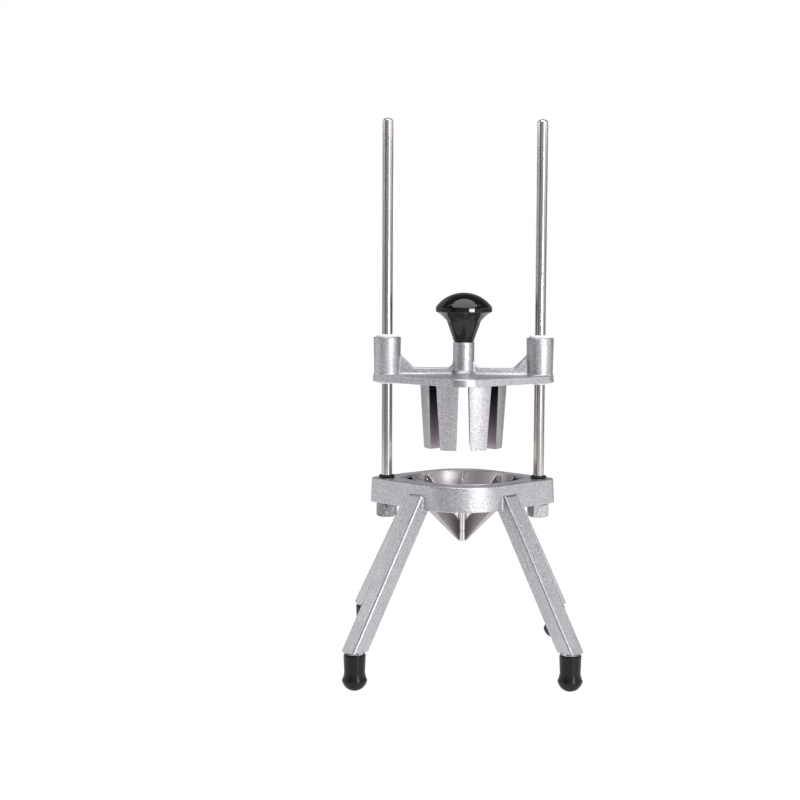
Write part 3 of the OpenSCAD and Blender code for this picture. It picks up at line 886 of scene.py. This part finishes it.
class WEDGER_OT_blade_cup(bpy.types.Operator):
    """Turns the cup with its rolled rim, the core tube and the rivets"""

    bl_idname = "wedger.blade_cup"
    bl_label = "Blade Cup"

    def execute(self, context):
        sizes = context.scene.wedger_cutter
        low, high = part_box("blade_cup")
        out_r = high.x
        in_r = out_r - sizes.cup_wall
        shell_r = out_r - sizes.cup_gap
        lip = (shell_r - in_r) / 2
        rim = arc(shell_r - lip, high.z + sizes.rim_proud - lip, lip, 0, 180, 8)
        foot = 0.3 * MM
        outline = [
            (in_r, low.z + foot), (in_r + foot, low.z),
            (shell_r - foot, low.z), (shell_r, low.z + foot),
        ]
        cup = lathe("cup_wall", outline + rim, 192, ring=True)
        dress(cup, "cup", 40, "base", "blade_steel", "blade_cup")
        low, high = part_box("core_tube")
        out_r = high.x
        bore_r = sizes.core_bore_r
        nip = 0.2 * MM
        neck_r = out_r - 2 * nip
        groove_z = low.z + sizes.core_groove
        outline = [
            (bore_r, low.z + nip), (bore_r + nip, low.z),
            (out_r - nip, low.z), (out_r, low.z + nip),
            (out_r, groove_z), (neck_r, groove_z + nip),
            (neck_r, groove_z + 3 * nip), (out_r, groove_z + 4 * nip),
            (out_r, high.z - 4 * nip), (neck_r, high.z),
            (bore_r + nip, high.z), (bore_r, high.z - nip),
        ]
        tube = lathe("core_sleeve", outline, 64, ring=True)
        dress(tube, "tube", 25, "base", "blade_steel", "core_tube")
        self.rivets(sizes, in_r, shell_r)
        return {"FINISHED"}

    def rivets(self, sizes, in_r, out_r):
        """Low domed heads inside the cup, closed flush outside"""
        height = middle("blade_rivets").z
        face_r = in_r - sizes.blade_t - 2 * SEAT
        radius = sizes.rivet_r
        shank_r = radius * 0.6
        turns = (0.35, 0.7, 1.0, 1.25, 1.45)
        head = [(radius * math.cos(turn), sizes.rivet_h * math.sin(turn)) for turn in turns]
        outline = [(shank_r, face_r + SEAT - out_r), (shank_r, -SEAT), (radius, 0), *head]
        shift = math.asin((sizes.blade_t / 2 + sizes.rivet_clear + radius) / in_r)
        heads = []
        for index in range(BLADES):
            turn = index * math.tau / BLADES + tab_side(index) * shift
            rivet = lathe("rivet", outline, 24)
            rivet.rotation_euler = (0, -math.pi / 2, turn)
            rivet.location = (face_r * math.cos(turn), face_r * math.sin(turn), height)
            settle(rivet)
            heads.append(rivet)
        group = join(heads)
        group.name = "cup_rivets"
        with editing(group):
            face_outwards()
        dress(group, "fastener", 40, "base", "blade_steel", "blade_rivets")


def tab_side(index):
    """Side that a blade's tab is bent to: clockwise on the right half, else anticlockwise"""
    return -1 if math.cos(index * math.tau / BLADES) > -0.1 else 1


class WEDGER_OT_blades(bpy.types.Operator):
    """Cuts one sloping blade with a ground edge and a bent tab, and copies it round the cup"""

    bl_idname = "wedger.blades"
    bl_label = "Blades"

    def execute(self, context):
        sizes = context.scene.wedger_cutter
        cup_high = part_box("blade_cup")[1]
        out_r = cup_high.x - sizes.cup_wall - SEAT
        in_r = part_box("core_tube")[1].x + SEAT
        top_z = cup_high.z - sizes.blade_top_drop
        half = sizes.blade_t / 2
        low_z = top_z - sizes.blade_fall - sizes.blade_inner_h
        blade = block("blade", (in_r, -half, low_z - MM), (out_r - 0.3 * MM, half, top_z + MM))
        run = out_r - in_r
        under = sizes.blade_fall + sizes.blade_inner_h - sizes.blade_outer_h
        with editing(blade):
            slice_off((out_r, 0, top_z), (-sizes.blade_fall, 0, run))
            slice_off((out_r, 0, top_z - sizes.blade_outer_h), (under, 0, -run))

        def is_cutting_edge(edge):
            first, second = edge.verts
            leans = abs(first.co.x - second.co.x) > run / 2
            return leans and max(first.co.z, second.co.z) > top_z - sizes.blade_outer_h / 2

        round_edges(blade, is_cutting_edge, sizes.edge_grind, 1)

        def is_ground(face):
            return face.normal.z > 0.2 and abs(face.normal.y) > 0.3

        for index in range(BLADES):
            twin = turned(blade, 0, f"wedge_blade_{index + 1}")
            side = tab_side(index)
            spans = sorted((-side * half, side * (sizes.tab_w - half)))
            low = (out_r - sizes.blade_t, spans[0], top_z - sizes.tab_h)
            tab = block("tab", low, (out_r - 0.12 * MM, spans[1], top_z))
            round_edges(tab, lambda edge: min(v.co.y * side for v in edge.verts) > 0, 0.4 * MM, 2)
            combine(twin, tab, "UNION")
            round_edges(twin, is_crease, 0.5 * MM, 3)
            ground = faces_where(twin, is_ground)
            twin.rotation_euler = (0, 0, index * math.tau / BLADES)
            settle(twin)
            dress(twin, "blade", 30, "base", "blade_steel", f"blade_{index + 1}")
            dress_faces(twin, "ground", ground)
        discard(blade)
        return {"FINISHED"}


# ---------------------------------------------------------------- rods and their fittings


class WEDGER_OT_guide_rods(bpy.types.Operator):
    """Turns the two polished rods with a domed end, a shoulder and a threaded shank"""

    bl_idname = "wedger.guide_rods"
    bl_label = "Guide Rods"

    def execute(self, context):
        sizes = context.scene.wedger_cutter
        ring_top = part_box("base_frame")[1].z
        for name in SIDES:
            node = "guide_rod_" + name
            low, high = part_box(node)
            radius = half_width(node)
            crest = sizes.shank_r
            root = crest - sizes.thread_depth
            pitch = sizes.thread_pitch
            nip = 0.3 * MM
            outline = [(root - nip, low.z), (root, low.z + nip)]
            z = low.z + 0.5 * pitch
            while z < ring_top - pitch:
                outline += [(crest, z), (root, z + 0.5 * pitch)]
                z += pitch
            nip = 0.2 * MM
            outline += [(crest, ring_top), (radius - nip, ring_top), (radius, ring_top + nip)]
            outline += dome(high.z, radius, sizes.rod_dome, 0, 86, 10)
            rod = lathe("polished_rod_" + name, outline, 72, middle(node).x)
            dress(rod, "rod", 35, "base", "rod_steel", node)
        return {"FINISHED"}


class WEDGER_OT_nuts_and_washers(bpy.types.Operator):
    """Models the chamfered hexagon nuts and their washers under the casting"""

    bl_idname = "wedger.nuts_and_washers"
    bl_label = "Nuts and Washers"

    def execute(self, context):
        sizes = context.scene.wedger_cutter
        bore_r = sizes.rod_hole_r
        for name in SIDES:
            low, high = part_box("rod_nut_" + name)
            x = middle("guide_rod_" + name).x
            corner_r = sizes.nut_flats / 2 / math.cos(math.pi / 6)
            nut = cone("hex_nut_" + name, 0, low.z, high.z - low.z, corner_r, corner_r, 6)
            nut.rotation_euler = (0, 0, getattr(sizes, "nut_turn_" + name))
            settle(nut)
            chamfer = sizes.nut_chamfer
            chamfer_top = 0.5 * chamfer
            outline = [
                (corner_r - chamfer, low.z), (corner_r, low.z + chamfer * 0.75),
                (corner_r + MM, low.z + chamfer * 1.2), (corner_r + MM, high.z - chamfer_top),
                (corner_r - chamfer_top, high.z), (corner_r - chamfer, high.z + 0.2 * MM),
            ]
            combine(nut, lathe("turning", outline, 72), "INTERSECT")
            drill(nut, 0, low.z - MM, high.z - low.z + 2 * MM, bore_r, 48)
            nip = 0.8 * MM
            sink = cone("sink", 0, low.z - nip / 2, 1.5 * nip, bore_r + 1.5 * nip, bore_r, 48)
            combine(nut, sink, "DIFFERENCE")

            def is_corner(edge):
                return rise(edge) > 3 * MM and edge.verts[0].co.xy.length > sizes.nut_flats / 2

            round_edges(nut, is_corner, 0.35 * MM, 2)
            nut.location = (x, 0, 0)
            settle(nut)
            # the left nut gets the darker copy of the plating, as painted shade
            look = "shaded_fastener" if name == "left" else "fastener"
            dress(nut, look, 25, "base", "fastener_steel", "rod_nut_" + name)
            low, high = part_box("rod_washer_" + name)
            out_r = half_width("rod_washer_" + name)
            nip = 0.25 * MM
            outline = [
                (bore_r, low.z), (out_r - nip, low.z), (out_r, low.z + nip),
                (out_r, high.z - nip), (out_r - nip, high.z), (bore_r, high.z),
            ]
            washer = lathe("washer_" + name, outline, 64, x, ring=True)
            dress(washer, "fastener", 25, "base", "fastener_steel", "rod_washer_" + name)
        return {"FINISHED"}


class WEDGER_OT_bumpers(bpy.types.Operator):
    """Models the rubber rings round the rods, each with a faint moulding line"""

    bl_idname = "wedger.bumpers"
    bl_label = "Bumper Rings"

    def execute(self, context):
        sizes = context.scene.wedger_cutter
        for name in SIDES:
            node = "bumper_" + name
            x, _, z = middle(node)
            radius = sizes.bumper_r
            ring_r = half_width(node) - radius
            skin_r = radius * 0.985
            half = 0.12 * MM
            line = [(ring_r + skin_r, z - half), (ring_r + radius, z), (ring_r + skin_r, z + half)]
            outline = line + arc(ring_r, z, skin_r, 12, 348, 26)
            bumper = lathe("bumper_ring_" + name, outline, 72, x, ring=True)
            dress(bumper, "bumper", 60, "base", "bumper_rubber", node)
        return {"FINISHED"}


# ---------------------------------------------------------------- pusher


class WEDGER_OT_pusher_casting(bpy.types.Operator):
    """Models the pusher: plate, sleeves, post, cross rib, gussets and eight fingers"""

    bl_idname = "wedger.pusher_casting"
    bl_label = "Pusher Casting"

    def execute(self, context):
        sizes = context.scene.wedger_pusher
        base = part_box("bushing_bottom_left")[0].z + sizes.flange_bottom_h + SEAT
        rod_x = middle("guide_rod_right").x
        end_r = sizes.sleeve_r + SEAT
        top = base + sizes.plate_h
        shape = rod_x, end_r, base, sizes.plate_h, sizes.sleeve_draft
        body = tangent_blank("pusher_casting", sizes, *shape)
        round_edges(body, level_edge(top), sizes.edge_round * 1.3, 3)
        round_edges(body, level_edge(base), sizes.edge_round * 0.7, 3)
        for side in SIDES.values():
            combine(body, self.sleeve(sizes, base, side * rod_x), "UNION")
        combine(body, self.rib(sizes, base, rod_x), "UNION")
        combine(body, self.post(sizes, base), "UNION")
        finger = self.finger(sizes, base)
        for index in range(FINGERS):
            combine(body, turned(finger, math.tau * index / FINGERS, "finger"), "UNION")
        discard(finger)
        tidy_mesh(body)
        past = 5 * MM
        bore = base - past, sizes.sleeve_h + 2 * past, sizes.bushing_r + SEAT
        for side in SIDES.values():
            drill(body, side * rod_x, *bore, 64)
        stud_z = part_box("knob_stud")[0].z
        drill(body, 0, stud_z - 2 * SEAT, sizes.post_h, half_width("knob_stud") + SEAT, 48)

        def is_root(edge, above):
            height = min(vertex.co.z for vertex in edge.verts)
            return is_crease(edge, math.radians(35)) and (height > top - MM) == above

        round_edges(body, lambda edge: is_root(edge, False), sizes.blend * 0.5, 2)
        round_edges(body, lambda edge: is_root(edge, True), sizes.blend, 3, False)
        dress(body, "casting", 30, "pusher", "cast_aluminium", "pusher_head")
        grow = (sizes.finger_top_r - sizes.finger_tip_r) / sizes.finger_len

        def is_slot_wall(face):
            x, y, z = face.center
            outer_r = sizes.finger_top_r - (base - z) * grow
            inside = math.hypot(x, y) < outer_r - 1.5 * MM
            return inside and z < base - MM and abs(face.normal.z) < 0.5

        # painted shade on the slot walls, darkest under the plate
        dress_faces(body, "slot", faces_where(body, is_slot_wall))
        return {"FINISHED"}

    def sleeve(self, sizes, base, x):
        """Drafted sleeve with a rounded mouth and a small root"""
        top = base + sizes.sleeve_h
        nip = sizes.edge_round * 0.7
        radius = sizes.sleeve_r
        low_r = radius + sizes.sleeve_draft * 0.6
        root = 0.9 * MM
        outline = [(low_r - MM, base + SUNK)]
        outline += arc(low_r, base + sizes.plate_h + root, root, 250, 180, 3)[1:]
        outline += arc(radius - nip, top - nip, nip, 0, 90, 4)
        return lathe("sleeve", outline, 96, x)

    def post(self, sizes, base):
        """Round post that flares into the plate"""
        top = base + sizes.post_h
        nip = sizes.edge_round
        radius = sizes.post_r
        fillet = sizes.post_fillet
        plate_top = base + sizes.plate_h
        outline = [(radius + fillet - 1.2 * MM, base + SUNK)]
        outline += arc(radius + fillet, plate_top + fillet - 0.1 * MM, fillet, 264, 180, 8)
        outline += arc(radius - nip, top - nip, nip, 0, 90, 4)
        return lathe("post", outline, 96)

    def rib(self, sizes, base, rod_x):
        """Cross rib with a rounded crest that bends up to the gussets and up the post"""
        plate_top = base + sizes.plate_h
        top = base + sizes.rib_h
        half = sizes.rib_w / 2
        inner = rod_x - sizes.sleeve_r
        bend = sizes.rib_bend
        fillet = sizes.post_fillet
        start = inner - sizes.gusset
        reach = bend * math.tan(math.pi / 8)
        crest = [(sizes.post_r - SUNK, top + fillet)]
        crest += arc(sizes.post_r + fillet, top + fillet, fillet, 180, 270, 8)
        crest += arc(start - reach, top + bend, bend, 270, 315, 4)
        high = top + sizes.gusset + SUNK
        end = rod_x - 8 * MM
        crest += [(inner + SUNK, high), (end, high)]
        under = [(end, base + SUNK)]
        outline = [(-x, z) for x, z in crest[::-1]] + crest + under + [(-x, z) for x, z in under]
        bar = slab("rib", outline, -half, half)

        def is_crest(edge):
            first, second = (vertex.co for vertex in edge.verts)
            reach = max(abs(first.x), abs(second.x))
            along = abs(first.y - second.y) < TINY and reach < inner + 3 * MM
            return along and min(first.z, second.z) > top - TINY

        round_edges(bar, is_crest, sizes.rib_crest, 4)
        foot = sizes.rib_foot
        flare = [(half - MM, plate_top + foot), (half, plate_top + foot)]
        flare += arc(half + foot, plate_top + foot - 0.05 * MM, foot, 185, 268, 5)[1:]
        flare += [(half + foot, plate_top - MM)]
        outline = flare + [(-x, z) for x, z in flare[::-1]]
        root = slab("rib_root", outline, -inner, inner)
        root.rotation_euler = (0, 0, math.pi / 2)
        settle(root)
        combine(bar, root, "UNION")
        return bar

    def finger(self, sizes, base):
        """One drafted finger: a cone cut by the two slot walls beside it"""
        length_z = sizes.finger_len
        grow = (sizes.finger_top_r - sizes.finger_tip_r) / length_z
        root_r = sizes.finger_top_r + grow * SUNK
        finger = cone("finger", 0, base - length_z, length_z + SUNK, sizes.finger_tip_r, root_r, 192)
        lean = math.atan2((sizes.slot_tip_w - sizes.slot_top_w) / 2, length_z)
        with editing(finger):
            for turn, side in ((0, 1), (math.tau / FINGERS, -1)):
                across = Vector((-math.sin(turn), math.cos(turn), 0)) * side
                point = across * sizes.slot_top_w / 2
                normal = -across * math.cos(lean) - Vector((0, 0, math.sin(lean)))
                slice_off((point.x, point.y, base), normal)
        tidy_mesh(finger)

        def is_corner(edge):
            outer = rise(edge) > length_z / 2 or level_edge(base - length_z)(edge)
            return outer and edge.calc_face_angle(0) > math.radians(20)

        round_edges(finger, is_corner, sizes.edge_round * 0.8, 3)
        return finger


class WEDGER_OT_bushings(bpy.types.Operator):
    """Turns the four flanged nylon bushings"""

    bl_idname = "wedger.bushings"
    bl_label = "Bushings"

    def execute(self, context):
        sizes = context.scene.wedger_pusher
        for name in SIDES:
            rod = "guide_rod_" + name
            for level, way in (("top", 1), ("bottom", -1)):
                node = f"bushing_{level}_{name}"
                low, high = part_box(node)
                flange_r = half_width(node)
                barrel_r = sizes.bushing_r
                outer, inner = (high.z, low.z) if way > 0 else (low.z, high.z)
                bore_r = half_width(rod) + SEAT
                seat = outer - way * getattr(sizes, f"flange_{level}_h")
                nip = 0.4 * MM
                outline = [
                    (bore_r, inner), (barrel_r - nip, inner), (barrel_r, inner + way * nip),
                    (barrel_r, seat), (flange_r - nip, seat), (flange_r, seat + way * nip),
                    (flange_r, outer - way * 1.5 * nip), (flange_r - nip, outer - way * 0.4 * nip),
                    (flange_r - 2 * nip, outer), (bore_r + nip, outer), (bore_r, outer - way * nip),
                ]
                bushing = lathe("nylon_" + node, outline, 72, middle(rod).x, ring=True)
                dress(bushing, "nylon", 35, "pusher", "nylon", node)
        return {"FINISHED"}


class WEDGER_OT_knob(bpy.types.Operator):
    """Turns the glossy mushroom knob and finishes the insert and stud inside it"""

    bl_idname = "wedger.knob"
    bl_label = "Knob"

    def execute(self, context):
        sizes = context.scene.wedger_pusher
        low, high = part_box("knob")
        stem_z = low.z + sizes.stem_foot_h
        neck_z = stem_z + sizes.stem_h
        band_z = neck_z + sizes.knob_under_h
        dome_z = band_z + sizes.knob_band_h
        radius = sizes.knob_r
        foot = []
        for i in range(6):
            turn = math.pi / 2 * i / 5
            grow = (sizes.stem_low_r - sizes.stem_base_r) * math.sin(turn)
            foot.append((sizes.stem_base_r + grow, low.z + sizes.stem_foot_h * (1 - math.cos(turn))))
        under = []
        for i in range(15):
            share = i / 14
            sag = 0.10 * sizes.knob_under_h * math.sin(math.pi * share)
            reach = sizes.stem_top_r + (radius - 0.5 * MM - sizes.stem_top_r) * share
            under.append((reach, neck_z + sizes.knob_under_h * share + sag))
        under[0] = (sizes.stem_top_r + 0.15 * MM, neck_z + 0.1 * MM)
        taper = [(sizes.stem_top_r - 0.25 * MM, neck_z - 0.5 * MM)]
        # Pairs of close rings keep the band's shading flat, so that it mirrors a lamp as one spot
        heights = (band_z + 0.6 * MM, band_z + 0.85 * MM, dome_z - 0.65 * MM, dome_z - 0.4 * MM)
        band = [(radius - 0.12 * MM, band_z + 0.25 * MM)] + [(radius, height) for height in heights]
        crown = dome(high.z, radius, sizes.knob_dome_h, 1.2, 89, 26)
        bore = [(sizes.insert_r, low.z), (sizes.insert_r, low.z + sizes.insert_len)]
        knob = lathe("mushroom_knob", bore[::-1] + foot + taper + under + band + crown, 128)
        dress(knob, "knob", 35, "pusher", "knob_plastic", "knob")
        for node, look in (("knob_insert", "brass"), ("knob_stud", "fastener")):
            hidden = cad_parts[node]
            hidden.data.materials.clear()
            hidden.data.materials.append(finish_named(look))
        return {"FINISHED"}


# ---------------------------------------------------------------- stage


def stage_nodes(piece):
    """Gives a stage piece a material of its own, still without nodes"""
    material = bpy.data.materials.new(piece.name)
    material.use_nodes = True
    material.node_tree.nodes.clear()
    piece.data.materials.append(material)
    return Nodes(material.node_tree)


def card(name, centre, size, facing, tone):
    """A plain card that only reflections see, as a photographer's flag"""
    bpy.ops.mesh.primitive_plane_add(size=1, location=(0, 0, 0))
    piece = named(name)
    turn = Vector(facing).to_track_quat("Z", "Y").to_matrix().to_4x4()
    piece.matrix_world = Matrix.Translation(centre) @ turn @ Matrix.Diagonal((*size, 1, 1))
    settle(piece)
    nodes = stage_nodes(piece)
    nodes.close("Material", nodes.add("Emission", 0, {"Color": tone}))
    for ray in ("camera", "diffuse", "transmission", "volume_scatter", "shadow"):
        setattr(piece, "visible_" + ray, False)


def softbox(name, centre, target, size, watts, shape="RECTANGLE"):
    bpy.ops.object.light_add(type="AREA", location=centre)
    lamp = bpy.context.object
    lamp.name = name
    lamp.data.shape = shape
    lamp.data.size, lamp.data.size_y = size
    lamp.data.energy = watts
    lamp.rotation_euler = (Vector(target) - Vector(centre)).to_track_quat("-Z", "Y").to_euler()


def around(degrees, distance, height):
    """A place round the object; 0 is the camera's side and positive turns to its right"""
    turn = math.radians(degrees)
    return Vector((distance * math.sin(turn), -distance * math.cos(turn), height))


# Grey cards that reflections see: turn, width, low edge, high edge and tone of each
SURROUND = (
    (-140, 0.80, 0.0, 1.3, 0.42),
    (-101, 0.72, 0.07, 0.6, 0.47),
    (-69, 0.50, 0.07, 1.0, 0.48),
    (-44, 0.48, 0.0, 1.3, 0.13),
    (-19, 0.48, 0.0, 1.0, 0.37),
    (4, 0.42, 0.0, 0.6, 0.44),
    (20, 0.22, 0.0, 0.6, 0.60),
    (68, 0.70, 0.07, 0.6, 0.78),
    (104, 0.70, 0.05, 0.6, 0.29),
    (141, 0.74, 0.0, 0.6, 0.28),
)
SURROUND_DISTANCE = 1.15

# Softboxes aimed at the object's middle: name, turn with distance and height, size and power
SOFTBOXES = (
    ("key_softbox", (36, 1.5, 0.34), (0.40, 0.62), "key_power"),
    ("high_key", (36, 1.5, 0.85), (0.40, 0.5), "high_power"),
    ("left_softbox", (-100, 1.5, 0.66), (1.0, 0.5), "left_power"),
    ("right_softbox", (95, 1.5, 0.66), (0.9, 0.45), "right_power"),
)


class WEDGER_OT_stage(bpy.types.Operator):
    """Sets the floor, surroundings, lamps, reflector cards and camera"""

    bl_idname = "wedger.stage"
    bl_label = "Stage"

    def execute(self, context):
        sizes = context.scene.wedger_stage
        self.floor()
        self.surroundings(context, sizes)
        for name, place, size, power in SOFTBOXES:
            softbox(name, around(*place), (0, 0, 0.26), size, getattr(sizes, power))
        top = (0.02, -0.22, 1.45), (0, 0, 0.3), (1.5, 1.4)
        softbox("top_softbox", *top, sizes.top_power, "ELLIPSE")
        strip = around(31.5, 1.12, 0.279), (0, 0, 0.32), (0.43, 0.045)
        softbox("strip", *strip, sizes.strip_power)
        for turn, width, low, high, tone in SURROUND:
            place = around(turn, SURROUND_DISTANCE, (low + high) / 2)
            shade = (tone, tone * 0.98, tone * 0.99)
            card(f"surround_{turn % 360}", place, (width, high - low), -around(turn, 1, 0), shade)
        card("rear_card", around(180, 1.6, 1.35), (2.6, 1.7), -around(180, 1, 0), (0.25, 0.25, 0.26))
        card("ceiling", (0, 0, 1.6), (5, 5), (0, 0, -1), (0.10, 0.10, 0.105))
        self.camera(context, sizes)
        return {"FINISHED"}

    def floor(self):
        """Matt for the lamps; to the camera it is nearly white, so that only its shadow shows"""
        bpy.ops.mesh.primitive_plane_add(size=24, location=(0, 0, 0))
        floor = named("floor")
        nodes = stage_nodes(floor)
        matt = nodes.add("BsdfDiffuse", 0, {"Color": (0.9, 0.9, 0.9)})
        glow = nodes.add("Emission", 0, {"Strength": 1.1})
        seen, mirrored = (
            nodes.add("Math", 0, {0: nodes.ray(ray), 1: share}, operation="MULTIPLY")
            for ray, share in (("Camera", 0.86), ("Glossy", 0.45))
        )
        mix = nodes.add("MixShader", 0, {0: nodes.larger(seen, mirrored), 1: matt, 2: glow})
        nodes.close("Material", mix)

    def surroundings(self, context, sizes):
        """White for the camera, reflections and glass; a plain level for matt surfaces"""
        world = bpy.data.worlds.new("surroundings")
        context.scene.world = world
        world.use_nodes = True
        world.node_tree.nodes.clear()
        nodes = Nodes(world.node_tree)
        seen = nodes.ray("Camera")
        for kind in ("Glossy", "Transmission"):
            seen = nodes.larger(seen, nodes.ray(kind))
        level = nodes.spread(seen, sizes.sky, 1, 0, 1)
        nodes.close("World", nodes.add("Background", 0, {"Color": (1, 1, 1), "Strength": level}))

    def camera(self, context, sizes):
        bpy.ops.object.camera_add()
        camera = bpy.context.object
        camera.name = "camera"
        camera.data.lens = sizes.lens
        camera.data.sensor_width = 36
        camera.data.shift_x = sizes.shift
        camera.data.clip_end = 100
        spin = sizes.camera_turn
        pitch = sizes.camera_pitch
        right = Vector((math.cos(spin), -math.sin(spin), 0))
        ahead = Vector((math.sin(spin), math.cos(spin), 0))
        look = ahead * math.cos(pitch) - Vector((0, 0, math.sin(pitch)))
        up = right.cross(look)
        rolled_right = right * math.cos(sizes.camera_roll) + up * math.sin(sizes.camera_roll)
        rolled_up = up * math.cos(sizes.camera_roll) - right * math.sin(sizes.camera_roll)
        turn = Matrix((rolled_right, rolled_up, -look)).transposed().to_4x4()
        place = -ahead * sizes.camera_back + Vector((0, 0, sizes.camera_up))
        camera.matrix_world = Matrix.Translation(place) @ turn
        context.scene.camera = camera
        context.scene.view_settings.view_transform = "Standard"


# ---------------------------------------------------------------- panel and run


PIECES = (
    WEDGER_OT_base_casting,
    WEDGER_OT_rubber_feet,
    WEDGER_OT_blade_cup,
    WEDGER_OT_blades,
    WEDGER_OT_guide_rods,
    WEDGER_OT_nuts_and_washers,
    WEDGER_OT_bumpers,
    WEDGER_OT_pusher_casting,
    WEDGER_OT_bushings,
    WEDGER_OT_knob,
    WEDGER_OT_stage,
)
SETTINGS = {
    "wedger_casting": WEDGER_PG_casting,
    "wedger_cutter": WEDGER_PG_cutter,
    "wedger_pusher": WEDGER_PG_pusher,
    "wedger_finish": WEDGER_PG_finish,
    "wedger_stage": WEDGER_PG_stage,
}


class WEDGER_PT_sidebar(bpy.types.Panel):
    """Lists the pieces of the press"""

    bl_label = "Wedger"
    bl_idname = "WEDGER_PT_sidebar"
    bl_space_type = "VIEW_3D"
    bl_region_type = "UI"
    bl_category = "Wedger"

    def draw(self, context):
        for operator in PIECES:
            self.layout.operator(operator.bl_idname)


def register():
    for kind in (*SETTINGS.values(), *PIECES, WEDGER_PT_sidebar):
        bpy.utils.register_class(kind)
    for name, group in SETTINGS.items():
        setattr(bpy.types.Scene, name, PointerProperty(type=group))


def unregister():
    for name in SETTINGS:
        delattr(bpy.types.Scene, name)
    for kind in reversed((*SETTINGS.values(), *PIECES, WEDGER_PT_sidebar)):
        bpy.utils.unregister_class(kind)


def main():
    register()
    for operator in PIECES:
        group, name = operator.bl_idname.split(".")
        getattr(getattr(bpy.ops, group), name)()


if __name__ == "__main__":
    main()
